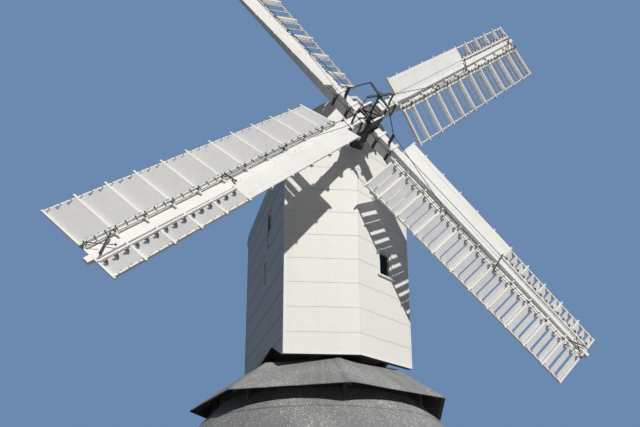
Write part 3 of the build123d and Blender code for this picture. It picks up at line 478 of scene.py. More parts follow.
def paint_finish(name, colour, dirt=(0.42, 0.41, 0.36), dirt_share=0.35, gloss=0.42, streak=(9, 9, 0.7),
                 relief=True):
    """Oil paint: slightly uneven, streaked by rain, with fine dirt and a few flaked spots."""
    material, tree, place = finish(name)
    fine = cloud(tree, place, 55.0, 5.0, rough=0.65)
    uneven = (cloud(tree, place, 0.9, 3.0), 0.35, 0.65, 1.0, tuple(part * 0.94 for part in colour))
    streaks = (cloud(tree, place, 1.0, 6.0, streak, 0.6), 0.5, 0.8, dirt_share, dirt)
    spots = add(tree, "ShaderNodeTexVoronoi", {"Vector": place, "Scale": 11.0}, "Distance")
    spots = taken(tree, spots, 0.05, 0.07, 0.5, 0.0)
    flakes = counted(tree, "MULTIPLY", spots, taken(tree, fine, 0.5, 0.6))
    colour = over(tree, flakes, laid(tree, colour, uneven, streaks), (0.3, 0.27, 0.22))
    return worn(material, colour, (fine, 0.3, 0.7, gloss, gloss + 0.2), fine if relief else None, 0.0002)


def glass_finish():
    """Clear window glass, faintly green and slightly uneven."""
    material, tree, place = finish("window_glass")
    dust = cloud(tree, place, 30.0, 5.0)
    colour = laid(tree, (0.82, 0.9, 0.88), (dust, 0.4, 0.8, 0.4, (0.6, 0.62, 0.58)))
    inputs = tree.nodes["Principled BSDF"].inputs
    inputs["Transmission Weight"].default_value = 1.0
    inputs["IOR"].default_value = 1.15
    inputs["Specular IOR Level"].default_value = 0.15
    ripple = cloud(tree, place, 7.0, 2.0)
    return worn(material, colour, (dust, 0.4, 0.8, 0.03, 0.16), ripple, 0.0008)


frame_paint = paint_finish("white_frame_paint", (0.78, 0.78, 0.76))
window_glass = glass_finish()
paint_node("roundhouse_windows", frame_paint)
paint_node("roundhouse_glass", window_glass)


# Roundhouse doors: tarred planks, hung on wrought strap hinges, with a ring handle and a painted frame
# round each doorway.


def tar_finish():
    """Black tar varnish over boards, the grain showing and dust at the foot."""
    material, tree, place = finish("tar_varnish")
    grain = cloud(tree, place, 1.0, 6.0, (70, 70, 3), 0.6)
    low = taken(tree, axis(tree, place, "Z"), 0.0, 0.5, 0.6, 0.0)
    dust = counted(tree, "MULTIPLY", low, taken(tree, grain, 0.3, 0.7))
    colour = laid(tree, (0.018, 0.018, 0.018), (grain, 0.35, 0.7, 1.0, (0.05, 0.048, 0.044)))
    colour = over(tree, dust, colour, (0.22, 0.19, 0.15))
    return worn(material, colour, (grain, 0.3, 0.7, 0.45, 0.75), grain, 0.0015)


def iron_finish():
    """Black painted iron with rust showing through at thin spots."""
    material, tree, place = finish("black_iron_paint", 0.25)
    fine = cloud(tree, place, 130.0, 5.0)
    spots = cloud(tree, place, 14.0, 6.0, rough=0.65)
    uneven = (fine, 0.3, 0.7, 1.0, (0.045, 0.045, 0.048))
    rust = (spots, 0.58, 0.72, 0.8, (0.13, 0.05, 0.022))
    colour = laid(tree, (0.02, 0.02, 0.022), uneven, rust)
    return worn(material, colour, (spots, 0.4, 0.7, 0.4, 0.75), fine, 0.0008)


def nut(tree, given):
    """A six-sided nut or bolt head on a round washer, upright on its spot."""
    head = {"Vertices": 6, "Radius": given["Width"], "Depth": given["Thickness"]}
    head = add(tree, "GeometryNodeMeshCylinder", head)
    lift = add(tree, "ShaderNodeCombineXYZ", {"Z": counted(tree, "MULTIPLY", given["Thickness"], 0.6)})
    head = add(tree, "GeometryNodeTransform", {"Geometry": head, "Translation": lift})
    wide = counted(tree, "MULTIPLY", given["Width"], 1.5)
    thin = counted(tree, "MULTIPLY", given["Thickness"], 0.3)
    washer = add(tree, "GeometryNodeMeshCylinder", {"Vertices": 12, "Radius": wide, "Depth": thin})
    joined = tree.nodes.new("GeometryNodeJoinGeometry")
    tree.links.new(head, joined.inputs[0])
    tree.links.new(washer, joined.inputs[0])
    return joined.outputs[0]


def add_prism(shape, outline, depth):
    """A flat outline of points pushed along a depth."""
    near = [shape.verts.new(Vector(point)) for point in outline]
    far = [shape.verts.new(Vector(point) + depth) for point in outline]
    shape.faces.new(near)
    shape.faces.new(far[::-1])
    for number in range(len(near)):
        after = (number + 1) % len(near)
        shape.faces.new((near[after], near[number], far[number], far[after]))


def add_ring(shape, middle, first, second, outward, radius, parts, size):
    """A ring of short boxes in the plane of two directions."""
    for part in range(parts):
        turn = 2 * pi * part / parts
        spot = middle + (first * cos(turn) + second * sin(turn)) * radius
        add_box(shape, spot, second * cos(turn) - first * sin(turn), outward, size)


right = Vector((1, 0, 0))
back = Vector((0, 1, 0))
tarred = tar_finish()
black_iron = iron_finish()
paint_node("roundhouse_doors", tarred)
door_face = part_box("roundhouse_doors")[1].x
jamb = 0.05
jamb_gap = 0.004
plank_count = 6
plank_gap = 0.005
plank_thickness = 0.02
plank_play = 0.02
plank_lift = 0.008
plank_pitch = 2 * (doorway_half - jamb) / plank_count
iron_face = door_face + plank_thickness
strap_edge = doorway_half - jamb - 0.01
strap_length = 0.62
strap_point = 0.02
strap_wide = 0.03
strap_narrow = 0.014
strap_thickness = 0.007
strap_heights = (0.42, 1.68)
strap_bolts = (0.12, 0.5, 0.88)
handle_edge = 0.33
handle_plate = (0.16, 0.07, 0.008)
handle_plate_height = 1.05
handle_height = 1.0
handle_radius = 0.055
handle_part = (0.024, 0.011, 0.011)
door_planks = bmesh.new()
door_frames = bmesh.new()
door_irons = bmesh.new()
door_bolts = []
strap_outline = ((0.0, -strap_wide), (strap_length, -strap_narrow), (strap_length + strap_point, 0.0))
strap_outline += ((strap_length, strap_narrow), (0.0, strap_wide))
for side in (1, -1):
    out = right * side
    for number in range(plank_count):
        y = (number - (plank_count - 1) / 2) * plank_pitch
        middle = (side * (door_face + plank_thickness / 2), y, (doorway_top - jamb) / 2 + plank_lift)
        size = (doorway_top - jamb - plank_play, plank_pitch - plank_gap, plank_thickness)
        add_box(door_planks, middle, up, out, size)
    for edge in (1, -1):
        middle = (side * (door_face + jamb / 2), edge * (doorway_half - jamb / 2), doorway_top / 2)
        add_box(door_frames, middle, up, out, (doorway_top - jamb_gap, jamb - jamb_gap, jamb))
    head = (side * (door_face + jamb / 2), 0, doorway_top - jamb / 2)
    add_box(door_frames, head, back, out, (2 * (doorway_half - jamb), jamb - jamb_gap, jamb))
    for height in strap_heights:
        outline = [(side * iron_face, side * (strap_edge - y), height + z) for y, z in strap_outline]
        add_prism(door_irons, outline, out * strap_thickness)
        for share in strap_bolts:
            y = side * (strap_edge - strap_length * share)
            spot = Vector((side * (iron_face + strap_thickness), y, height))
            door_bolts.append((spot, up, out, 1.0))
    plate = (side * (iron_face + handle_plate[2] / 2), -side * handle_edge, handle_plate_height)
    add_box(door_irons, plate, up, out, handle_plate)
    handle = Vector((side * (iron_face + 0.02), -side * handle_edge, handle_height))
    add_ring(door_irons, handle, -up, back, out, handle_radius, 16, handle_part)
put_together("door_planks", door_planks, tarred, "roundhouse", 0.003)
put_together("door_frames", door_frames, frame_paint, "roundhouse", 0.003)
put_together("door_irons", door_irons, black_iron, "roundhouse", 0.0015)
repeat("door_bolts", door_bolts, nut, (0.011, 0.008), black_iron, "roundhouse")


# Floor of the roundhouse: bricks laid flat on sand. They are worn and seen only through the doorways
# and windows, so they are drawn in the surface.


def coursed(tree, place, joint, rise, colours):
    """Brickwork drawn in a surface, in two tones and a mortar: its colour, and its joints as 1."""
    first, second, mortar = ((*colour, 1) for colour in colours)
    inputs = {"Vector": place, "Scale": 1.0, "Color1": first, "Color2": second, "Mortar": mortar}
    inputs |= {"Mortar Size": joint, "Brick Width": brick_length + mortar_joint, "Row Height": rise}
    colour = add(tree, "ShaderNodeTexBrick", inputs)
    return colour, tree.nodes[-1].outputs["Fac"]


def paving_finish():
    """Brick paving in courses, with earth in the joints."""
    material, tree, place = finish("brick_paving")
    tones = ((0.3, 0.13, 0.09), (0.2, 0.1, 0.08), (0.1, 0.085, 0.065))
    paving, joints = coursed(tree, place, 0.006, 0.11, tones)
    fine = cloud(tree, place, 40.0, 5.0)
    colour = laid(tree, paving, (fine, 0.4, 0.75, 0.5, (0.33, 0.24, 0.18)))
    relief = counted(tree, "SUBTRACT", counted(tree, "MULTIPLY", fine, 0.4), joints)
    return worn(material, colour, (fine, 0.3, 0.7, 0.6, 0.9), relief, 0.005)


paint_node("roundhouse_floor", paving_finish())


# Trestle: four brick piers, two crossed oak beams, four raking quarter bars and the great post. The
# oak is sawn and pegged, bare, grey-brown and checked along its grain.


def from_half(tree, value):
    """How far a value is from a half."""
    return counted(tree, "ABSOLUTE", counted(tree, "SUBTRACT", value, 0.5))


def oak_finish(name, stretch, light=(0.27, 0.2, 0.13), dark=(0.1, 0.07, 0.045)):
    """Bare oak whose grain runs along the least stretched direction."""
    material, tree, place = finish(name)
    grain = cloud(tree, place, 1.0, 8.0, stretch, 0.62)
    split = from_half(tree, cloud(tree, place, 1.0, 2.0, tuple(0.4 * part for part in stretch)))
    cracks = (split, 0.012, 0.0, 0.8, (0.02, 0.015, 0.01))
    colour = laid(tree, light, (grain, 0.32, 0.68, 1.0, dark), cracks)
    relief = counted(tree, "SUBTRACT", grain, taken(tree, split, 0.0, 0.012, 1.0, 0.0))
    fine = cloud(tree, place, 80.0, 4.0)
    return worn(material, colour, (fine, 0.3, 0.7, 0.65, 0.85), relief, 0.003)


def spokes_finish():
    """Oak for beams and bars that lie on the two diagonals: grain by the distance from the post."""
    material, tree, place = finish("diagonal_oak")
    x, y = (counted(tree, "ABSOLUTE", axis(tree, place, letter)) for letter in "XY")
    across = counted(tree, "MULTIPLY", counted(tree, "SUBTRACT", x, y), 30.0)
    height = counted(tree, "MULTIPLY", axis(tree, place, "Z"), 1.2)
    inputs = {"X": counted(tree, "ADD", x, y), "Y": across, "Z": height}
    grain = cloud(tree, add(tree, "ShaderNodeCombineXYZ", inputs), 1.0, 8.0, rough=0.62)
    colour = laid(tree, (0.26, 0.19, 0.12), (grain, 0.32, 0.68, 1.0, (0.1, 0.07, 0.045)))
    return worn(material, colour, (grain, 0.3, 0.7, 0.65, 0.85), grain, 0.003)


def pier_finish():
    """Red brickwork drawn square to the sides of the piers, which stand on the diagonals."""
    material, tree, place = finish("pier_brick")
    turned = add(tree, "ShaderNodeMapping", {"Vector": place, "Rotation": (pi / 2, 0, pi / 4)})
    tones = ((0.32, 0.11, 0.07), (0.22, 0.08, 0.055), (0.4, 0.37, 0.3))
    colour = coursed(tree, turned, mortar_joint, course_rise, tones)[0]
    grain = cloud(tree, place, 60.0, 5.0)
    return worn(material, colour, (grain, 0.2, 0.8, 0.75, 0.95), grain, 0.003)


upright_oak = oak_finish("upright_oak", (26, 26, 1.1))
cross_oak = oak_finish("cross_oak", (1.1, 26, 26))
fore_oak = oak_finish("fore_and_aft_oak", (26, 1.1, 26))
spoke_oak = spokes_finish()
paint_node("wall_plate", oak_finish("plate_oak", (6, 6, 30)))
paint_node("crosstrees", spoke_oak)
paint_node("quarter_bars", spoke_oak)
paint_node("main_post", upright_oak)
paint_node("trestle_piers", pier_finish())


# Roundhouse roof: boards covered with mineral felt in two rings, the upper lapped over the lower. The
# lower one is turned down over the eave, and both are nailed. Lichen grows on them in pale spots.


def felt_finish(name, spots, base=(0.16, 0.166, 0.17)):
    """Grey mineral felt, streaked down the slope by rain, with pale lichen spots of three sizes."""
    material, tree, place = finish(name)
    depth = counted(tree, "MULTIPLY", axis(tree, place, "Y"), -1.0)
    turn = counted(tree, "ARCTAN2", axis(tree, place, "X"), depth)
    reach = add(tree, "ShaderNodeVectorMath", {0: place}, "Value", operation="LENGTH")
    inputs = {"X": counted(tree, "MULTIPLY", turn, 21.0), "Y": counted(tree, "MULTIPLY", reach, 0.9)}
    runs = cloud(tree, add(tree, "ShaderNodeCombineXYZ", inputs), 1.0, 6.0, rough=0.6)
    grit = cloud(tree, place, 260.0, 3.0)
    broad = cloud(tree, place, 0.7, 6.0, rough=0.6)
    uneven = (broad, 0.35, 0.65, 1.0, tuple(part * 1.4 for part in base))
    dark_runs = (runs, 0.5, 0.75, 0.5, (0.085, 0.088, 0.09))
    pale_runs = (runs, 0.46, 0.28, 0.45, (0.34, 0.35, 0.35))
    specks = (grit, 0.3, 0.75, 0.3, (0.42, 0.43, 0.43))
    colour = laid(tree, base, uneven, dark_runs, pale_runs, specks)
    for scale, size, share in ((8.0, 0.16, 0.6), (17.0, 0.3, 0.85), (31.0, 0.4, 0.95)):
        cells = add(tree, "ShaderNodeTexVoronoi", {"Vector": place, "Scale": scale}, "Distance")
        chance = add(tree, "ShaderNodeSeparateColor", {0: tree.nodes[-1].outputs["Color"]}, "Red")
        ragged = counted(tree, "ADD", cells, counted(tree, "MULTIPLY", grit, 0.16))
        limit = taken(tree, counted(tree, "ADD", chance, broad), 1.5 - spots, 1.55, 0.0, size + 0.08)
        past = counted(tree, "SUBTRACT", ragged, limit)
        colour = laid(tree, colour, (past, 0.03, -0.03, share, (0.72, 0.75, 0.73)))
    return worn(material, colour, (grit, 0.3, 0.7, 0.7, 0.92), grit, 0.0018)


def pushed(point, size, amount):
    """Uneven lift of a soft covering at a point."""
    return amount * noise.noise(point * size)


def skin(name, shape, thickness, material, body, smooth):
    """Turns a surface under construction into a thin piece on a body, thickened inwards."""
    for face in shape.faces:
        face.smooth = smooth
    piece = link_shape(name, shape, material)
    shell = piece.modifiers.new("thickness", "SOLIDIFY")
    shell.thickness = thickness
    shell.offset = -1
    on_body(piece, body)


def grid_skin(name, rows, closed, thickness, material, body, smooth=True):
    """A thin skin over rows of points."""
    shape = bmesh.new()
    lines = [[shape.verts.new(point) for point in row] for row in rows]
    for low, high in zip(lines, lines[1:]):
        count = len(low)
        for number in range(count if closed else count - 1):
            after = (number + 1) % count
            shape.faces.new((low[number], low[after], high[after], high[number]))
    skin(name, shape, thickness, material, body, smooth)


def clout(tree, given):
    """A flat-headed clout nail, driven home."""
    inputs = {"Vertices": 8, "Radius Bottom": given["Width"], "Depth": given["Thickness"]}
    inputs["Radius Top"] = counted(tree, "MULTIPLY", given["Width"], 0.7)
    return add(tree, "GeometryNodeMeshCone", inputs)


def zinc_finish():
    """Dull galvanised nail heads, some rusty."""
    material, tree, place = finish("dull_zinc", 0.6)
    spots = cloud(tree, place, 9.0, 3.0)
    colour = laid(tree, (0.34, 0.35, 0.36), (spots, 0.5, 0.7, 1.0, (0.16, 0.09, 0.05)))
    return worn(material, colour, (spots, 0.3, 0.7, 0.45, 0.8))


roof_felt = felt_finish("roof_felt", 0.92)
paint_node("roundhouse_roof", roof_felt)
roof_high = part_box("roundhouse_roof")[1]
roof_sides = 48
roof_pitch = radians(48)
roof_eave = roof_high.x
roof_ring = 3.0
roof_eave_height = roof_high.z - (roof_eave - roof_ring) * tan(roof_pitch)
felt_around = 192
felt_thickness = 0.004
felt_lap_low = 3.58
felt_lap_high = 3.5
fold_out = 1.0008
fold_drops = (0.06, 0.03, 0.008)
clout_count = 420
clout_rings = ((felt_lap_low - 0.025, 0.021), (roof_eave - 0.03, 0.014))


def roof_height(radius):
    """Height of the boards at a corner radius."""
    return roof_eave_height + (roof_eave - radius) * tan(roof_pitch)


def roof_spot(turn, radius, lift):
    """A point on the many-sided roof at a corner radius, lifted square off the boards."""
    step = 2 * pi / roof_sides
    flat = cos(step / 2) / cos(turn % step - step / 2)
    out = radius * flat + lift * sin(roof_pitch)
    return Vector((out * cos(turn), out * sin(turn), roof_height(radius) + lift * cos(roof_pitch)))


def felt_ring(first, last, lift_first, lift_last, rows):
    """Rows of points of one ring of felt, from its lower edge up."""
    made = []
    for row in range(rows + 1):
        radius = first + (last - first) * row / rows
        lift = lift_first + (lift_last - lift_first) * row / rows
        line = []
        for number in range(felt_around):
            turn = 2 * pi * number / felt_around
            bare = roof_spot(turn, radius, lift)
            uneven = abs(pushed(bare, 1.7, 0.006)) + pushed(bare, 9, 0.0015)
            line.append(roof_spot(turn, radius, lift + uneven))
        made.append(line)
    return made


def folded(line, out, drop):
    """A line of felt carried out a little and turned down."""
    return [Vector((point.x * out, point.y * out, point.z - drop)) for point in line]


eave_line = felt_ring(roof_eave, roof_eave, 0.006, 0.006, 1)[0]
lower_rows = [folded(eave_line, fold_out, drop) for drop in fold_drops]
lower_rows += felt_ring(roof_eave, felt_lap_high, 0.007, 0.005, 14)
upper_rows = felt_ring(felt_lap_low, roof_ring, 0.013, 0.007, 9)
for name, rows in (("roof_felt_lower", lower_rows), ("roof_felt_upper", upper_rows)):
    grid_skin(name, rows, True, felt_thickness, roof_felt, "roundhouse")

clout_spots = []
for radius, lift in clout_rings:
    for number in range(clout_count):
        turn = 2 * pi * number / clout_count
        outward = Matrix.Rotation(turn, 3, "Z") @ Vector((sin(roof_pitch), 0, cos(roof_pitch)))
        clout_spots.append((roof_spot(turn, radius, lift), (-sin(turn), cos(turn), 0), outward, 1.0))
repeat("roof_clouts", clout_spots, clout, (0.008, 0.003), zinc_finish(), "roundhouse")


# Hood over the trestle head: eight felted panels with the felt carried round the hips, a strip of it
# along each hip, and an underside painted black as shade. Oak hip rafters and short posts carry it,
# darkened as shade, and a ring of black tarred boards, put in as the shade under the hood, closes it
# towards the roof.


def hood_board_painted_shade_finish():
    """The hood's own boards: felt grey above, painted black below as the shade under the hood."""
    material, tree, place = finish("hood_boards_painted_shade_below")
    facing_up = axis(tree, add(tree, "ShaderNodeTexCoord", out="Normal"), "Z")
    grain = cloud(tree, place, 30.0, 5.0)
    uneven = (grain, 0.3, 0.7, 1.0, (0.28, 0.285, 0.29))
    # Painted shade: faces that look down are made near black.
    below = (facing_up, 0.05, -0.05, 1.0, (0.012, 0.012, 0.013))
    colour = laid(tree, (0.2, 0.205, 0.21), uneven, below)
    return worn(material, colour, (grain, 0.3, 0.7, 0.75, 0.95), grain)


hood_felt = felt_finish("hood_felt", 0.6, (0.18, 0.186, 0.187))
paint_node("hood_panels", hood_board_painted_shade_finish())
# The hood's posts and rafters take oak darker than the rest: painted shade for the dark under the hood.
paint_node("hood_frame", oak_finish("hood_oak_darkened_as_shade", (9, 9, 3), (0.16, 0.145, 0.125), (0.06, 0.055, 0.05)))
hood_low, hood_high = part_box("hood_panels")
hood_sides = 8
hood_turn = radians(-101.25)
hood_step = 2 * pi / hood_sides
hood_eave = 3.91
hood_top = 2.58
hood_rise = hood_high.z - hood_low.z
hood_slope = atan2(hood_rise, (hood_eave - hood_top) * cos(hood_step / 2))
hood_row_count = 18
hip_round = 0.1
hip_places = (-0.028, -0.019, -0.009, 0.0, 0.009, 0.019, 0.028)
drip_out = 1.002
drip_drop = 0.03
hood_felt_lift = 0.013
hood_felt_thickness = 0.005


def hood_height(radius):
    """Height of the hood's boards at a corner radius."""
    return hood_low.z + (hood_eave - radius) * hood_rise / (hood_eave - hood_top)


def hood_spot(around, radius, lift):
    """A point on the hood: around counts corners, with the corners rounded, at a corner radius."""
    corner = round(around)
    side_length = 2 * radius * sin(hood_step / 2)
    along = (around - corner) * side_length
    turn = hood_turn + corner * hood_step
    tangent = hip_round * tan(hood_step / 2)
    if abs(along) >= tangent:
        sign = 1 if along > 0 else -1
        way = turn + sign * hood_step / 2
        normal = Vector((cos(way), sin(way)))
        side = Vector((-sin(way), cos(way)))
        flat = normal * radius * cos(hood_step / 2) + side * (along - sign * side_length / 2)
    else:
        way = turn + along / tangent * hood_step / 2
        normal = Vector((cos(way), sin(way)))
        middle = Vector((cos(turn), sin(turn))) * (radius - hip_round / cos(hood_step / 2))
        flat = middle + normal * hip_round
    flat = flat + normal * lift * sin(hood_slope)
    return Vector((flat.x, flat.y, hood_height(radius) + lift * cos(hood_slope)))


def hood_felt_spot(around, radius, lift):
    """A point on the felt over the hood, which lies unevenly on its boards."""
    bare = hood_spot(around, radius, 0)
    return hood_spot(around, radius, lift + 0.4 * abs(pushed(bare, 1.3, 0.03)) + pushed(bare, 6, 0.003))


around_hood = []
for corner in range(hood_sides):
    around_hood += [corner + aside for aside in hip_places]
    for number in range(1, hood_row_count):
        around_hood.append(corner + hip_places[-1] + (1 - 2 * hip_places[-1]) * number / hood_row_count)
hood_rows = []
for row in range(hood_row_count + 1):
    radius = hood_eave + (hood_top - hood_eave) * row / hood_row_count
    hood_rows.append([hood_felt_spot(around, radius, hood_felt_lift) for around in around_hood])
hood_rows.insert(0, folded(hood_rows[0], drip_out, drip_drop))
grid_skin("hood_felt_skin", hood_rows, True, hood_felt_thickness, hood_felt, "roundhouse")

# Painted shade: the lining is a ring of black boards that fills the dark gap between the hood and the roof.
lining_radius = 3.06
lining_boards = 96
lining_gap = 0.004
lining_thickness = 0.02
lining_low = roof_height(lining_radius) + 0.01
lining = bmesh.new()
for number in range(lining_boards):
    turn = 2 * pi * number / lining_boards
    aside = (turn - hood_turn) % hood_step - hood_step / 2
    lining_high = hood_height(lining_radius * cos(aside) / cos(hood_step / 2)) - 0.07
    middle, tangent, outward = ring_spot(turn, lining_radius, (lining_low + lining_high) / 2)
    width = 2 * pi * lining_radius / lining_boards - lining_gap
    add_box(lining, middle, up, outward, (lining_high - lining_low, width, lining_thickness))
put_together("hood_lining", lining, tarred, "roundhouse")

hip_half = 0.15
hip_parts = 9
hip_lift = 0.02
hip_edge = 0.004
for corner in range(hood_sides):
    rows = []
    for row in range(hood_row_count + 1):
        radius = hood_eave - 0.004 + (hood_top - hood_eave) * row / hood_row_count
        line = []
        for number in range(-hip_parts, hip_parts + 1):
            share = number / hip_parts
            around = corner + share * hip_half / (2 * radius * sin(hood_step / 2))
            line.append(hood_felt_spot(around, radius, hip_lift - hip_edge * share**2))
        rows.append(line)
    name = f"hip_felt_{corner + 1}"
    grid_skin(name, rows, False, felt_thickness, hood_felt, "roundhouse")


# Walls of the buck: an oak frame boarded and covered with white painted sheet in level strips, each
# lapped over the one below, with white angle strips nailed down the corners.


def sheet_finish(name, first_seam, pitch, line, share, paint):
    """White paint on sheet: broad flat sheen, faint rain streaks, and a painted shade line under each lap.
    """
    material, tree, place = finish(name)
    fine = cloud(tree, place, 70.0, 4.0)
    laps = counted(tree, "SUBTRACT", axis(tree, place, "Z"), buck_bottom + first_seam - lap_rise)
    laps = counted(tree, "FRACT", counted(tree, "DIVIDE", laps, pitch))
    uneven = (cloud(tree, place, 0.55, 4.0), 0.35, 0.65, 1.0, tuple(part * 0.955 for part in paint))
    streaks = (cloud(tree, place, 1.0, 6.0, (7, 7, 0.5), 0.6), 0.52, 0.9, 0.16, (0.5, 0.49, 0.42))
    specks = (fine, 0.62, 0.75, 0.14, (0.5, 0.5, 0.46))
    # Painted shade: a dark band just under each lap, where the lap throws its shadow.
    shade = (laps, 1 - 1.6 * line / pitch, 1 - 0.6 * line / pitch, share, (0.06, 0.065, 0.07))
    colour = laid(tree, paint, uneven, streaks, specks, shade)
    buckle = cloud(tree, place, 1.0, 2.0, (1.6, 1.6, 2.6))
    relief = counted(tree, "ADD", buckle, counted(tree, "MULTIPLY", fine, 0.04))
    return worn(material, colour, (fine, 0.3, 0.7, 0.42, 0.6), relief, 0.008)


def wall_body_finish():
    """The wall itself: bare boards inside, painted shade on faces that look down, white paint on its outer
    side.
    """
    material, tree, place = finish("wall_boards")
    way = add(tree, "ShaderNodeTexCoord", out="Normal")
    flat = add(tree, "ShaderNodeVectorMath", {0: place, 1: (1.0, 1.0, 0.0)}, operation="MULTIPLY")
    facing = add(tree, "ShaderNodeVectorMath", {0: way, 1: flat}, "Value", operation="DOT_PRODUCT")
    board = counted(tree, "FRACT", counted(tree, "MULTIPLY", axis(tree, place, "Z"), 5.5))
    grain = cloud(tree, place, 1.0, 6.0, (2, 2, 40), 0.6)
    joints = (from_half(tree, board), 0.47, 0.49, 1.0, (0.04, 0.03, 0.02))
    wood = laid(tree, (0.36, 0.27, 0.17), (grain, 0.3, 0.7, 1.0, (0.22, 0.16, 0.1)), joints)
    # Painted shade: faces that look down are made dark brown.
    below = (axis(tree, way, "Z"), -0.15, -0.3, 1.0, (0.05, 0.04, 0.032))
    colour = laid(tree, (0.76, 0.76, 0.74), (facing, -0.9, -1.1, 1.0, wood), below)
    return worn(material, colour, (grain, 0.3, 0.7, 0.5, 0.75), grain, 0.0015)


buck_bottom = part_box("breast_left")[0].z
buck_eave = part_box("side_wall_left")[1].z
buck_half = 1.9
buck_front = -2.2
buck_back = 2.3
prow_reach = 0.6
prow_way = atan2(prow_reach, buck_half)
breast_out = {side: Vector((side * sin(prow_way), -cos(prow_way), 0)) for side in (-1, 1)}
sheet_thickness = 0.002
lap_rise = 0.02
lap_foot = 0.007
lap_head = 0.0025
breast_seams = (0.62, 0.693)
side_seams = (0.5, 0.667)
breast_sheet = sheet_finish("breast_sheet_paint", *breast_seams, 0.008, 0.4, (0.79, 0.785, 0.76))
# The side and tail sheets are painted greyer than the breast, with a stronger dark line under each lap:
# painted shade for the walls that the key light hardly reaches.
shade_painted_side_sheet = sheet_finish("side_sheet_paint", *side_seams, 0.02, 0.85, (0.6, 0.61, 0.605))
buck_walls = {
    "breast_left": (breast_out[-1], breast_seams, breast_sheet),
    "breast_right": (breast_out[1], breast_seams, breast_sheet),
    "side_wall_left": (-right, side_seams, shade_painted_side_sheet),
    "side_wall_right": (right, side_seams, shade_painted_side_sheet),
    "tail_wall": (back, side_seams, shade_painted_side_sheet),
}


def lay_sheets(node, outward, first_seam, pitch, material):
    """White sheets over the outer face of a wall, from the foot up, each lapping the one below."""
    shape = bmesh.new()
    shape.from_mesh(frame["nodes"][node].data)
    bmesh.ops.remove_doubles(shape, verts=shape.verts[:], dist=0.0004)
    inner = [face for face in shape.faces if face.normal.dot(outward) < 0.99]
    bmesh.ops.delete(shape, geom=inner, context="FACES")
    wall_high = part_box(node)[1].z
    seams = []
    height = buck_bottom + first_seam
    while height < wall_high:
        seams.append(height)
        height += pitch
    for seam in seams:
        everything = shape.verts[:] + shape.edges[:] + shape.faces[:]
        place = (0, 0, seam)
        cut = bmesh.ops.bisect_plane(shape, geom=everything, plane_co=place, plane_no=up, dist=1e-5)
        edges = [part for part in cut["geom_cut"] if isinstance(part, bmesh.types.BMEdge)]
        bmesh.ops.split_edges(shape, edges=edges)
    marks = [buck_bottom - 1] + seams + [wall_high + pitch]
    moves = {}
    for face in shape.faces:
        middle = face.calc_center_median().z
        strip = max(number for number, mark in enumerate(marks) if mark < middle)
        foot = marks[strip] if strip else marks[1] - pitch
        for vert in face.verts:
            share = min(max((vert.co.z - foot) / (marks[strip + 1] - foot), 0), 1)
            drop = lap_rise if strip and abs(vert.co.z - foot) < 0.001 else 0.0
            moves[vert] = outward * (lap_foot + (lap_head - lap_foot) * share) - up * drop
    for vert, move in moves.items():
        vert.co += move
    skin(f"{node}_sheets", shape, sheet_thickness, material, "buck", False)


wall_boards = wall_body_finish()
for node, (outward, seams, material) in buck_walls.items():
    paint_node(node, wall_boards)
    lay_sheets(node, outward, *seams, material)

trim_paint = paint_finish("white_trim_paint", (0.84, 0.84, 0.83), dirt_share=0.2)
trim_width = 0.055
trim_thickness = 0.004
trim_lift = 0.009
breast_foot_length = 1.99
tail_foot = buck_bottom + 0.12
trims = bmesh.new()


def add_trim(middle, along, outward, length):
    """One flange of an angle strip on the walls."""
    add_box(trims, middle, along, outward, (length, trim_width, trim_thickness))


for side in (-1, 1):
    out = breast_out[side]
    across = Vector((side * cos(prow_way), sin(prow_way), 0))
    corner = Vector((side * buck_half, buck_front, (buck_eave + buck_bottom) / 2))
    corner += (out + right * side) * trim_lift
    add_trim(corner - across * trim_width / 2, up, out, buck_eave - buck_bottom)
    add_trim(corner + back * trim_width / 2, up, right * side, buck_eave - buck_bottom)
    foot = Vector((side * buck_half / 2, buck_front - prow_reach / 2, buck_bottom + trim_width / 2))
    add_trim(foot + out * (trim_lift + 0.001), across, out, breast_foot_length)
    corner = Vector((side * (buck_half + trim_lift), buck_back + trim_lift, (tail_foot + buck_eave) / 2))
    add_trim(corner - right * side * trim_width / 2, up, back, buck_eave - tail_foot)
    add_trim(corner - back * trim_width / 2, up, right * side, buck_eave - tail_foot)
put_together("corner_trims", trims, trim_paint, "buck")


# Roof of the buck: two curved boarded slopes that meet in a ridge, covered with painted sheets laid
# from eave to eave, each lapped over the one in front, and a rolled capping along the ridge.

roof_paint = paint_finish("roof_paint", (0.64, 0.65, 0.66), (0.3, 0.3, 0.28), 0.45, 0.5, (5, 5, 0.6))
arc_offset = 0.25
arc_radius = arc_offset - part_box("buck_roof_left")[0].x
verge_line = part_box("buck_roof_left")[0].y
verge_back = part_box("buck_roof_left")[1].y
sheet_laps = 5
sheet_run = (verge_back - verge_line) / sheet_laps
sheet_overlap = 0.03
arc_steps = 48
roof_lift_edge = 0.0045
roof_lift_head = 0.0018
roof_sheet_thickness = 0.0016
ridge_height = buck_eave + sqrt(arc_radius**2 - arc_offset**2)
ridge_angle = acos(arc_offset / arc_radius)
ridge_radius = 0.035


def arc_spot(side, angle, y, lift):
    """A point on one slope of the roof, its angle counted from the eave up to the ridge."""
    radius = arc_radius + lift
    return Vector((side * (radius * cos(angle) - arc_offset), y, buck_eave + radius * sin(angle)))


def rods(name, lines, radius, material, body, sides=8):
    """Round rods of one thickness along straight lines, as one piece on a body."""
    mesh = bpy.data.meshes.new(name)
    points = [point for line in lines for point in line]
    mesh.from_pydata(points, [(2 * line, 2 * line + 1) for line in range(len(lines))], [])

    def build(tree, given):
        curve = add(tree, "GeometryNodeMeshToCurve", {"Mesh": given["Spots"]})
        ring = {"Resolution": sides, "Radius": given["Radius"]}
        ring = add(tree, "GeometryNodeCurvePrimitiveCircle", ring)
        inputs = {"Curve": curve, "Profile Curve": ring, "Fill Caps": True}
        return add(tree, "GeometryNodeCurveToMesh", inputs)

    on_body(bake_tree(name, mesh, {"Radius": radius}, build, material), body)


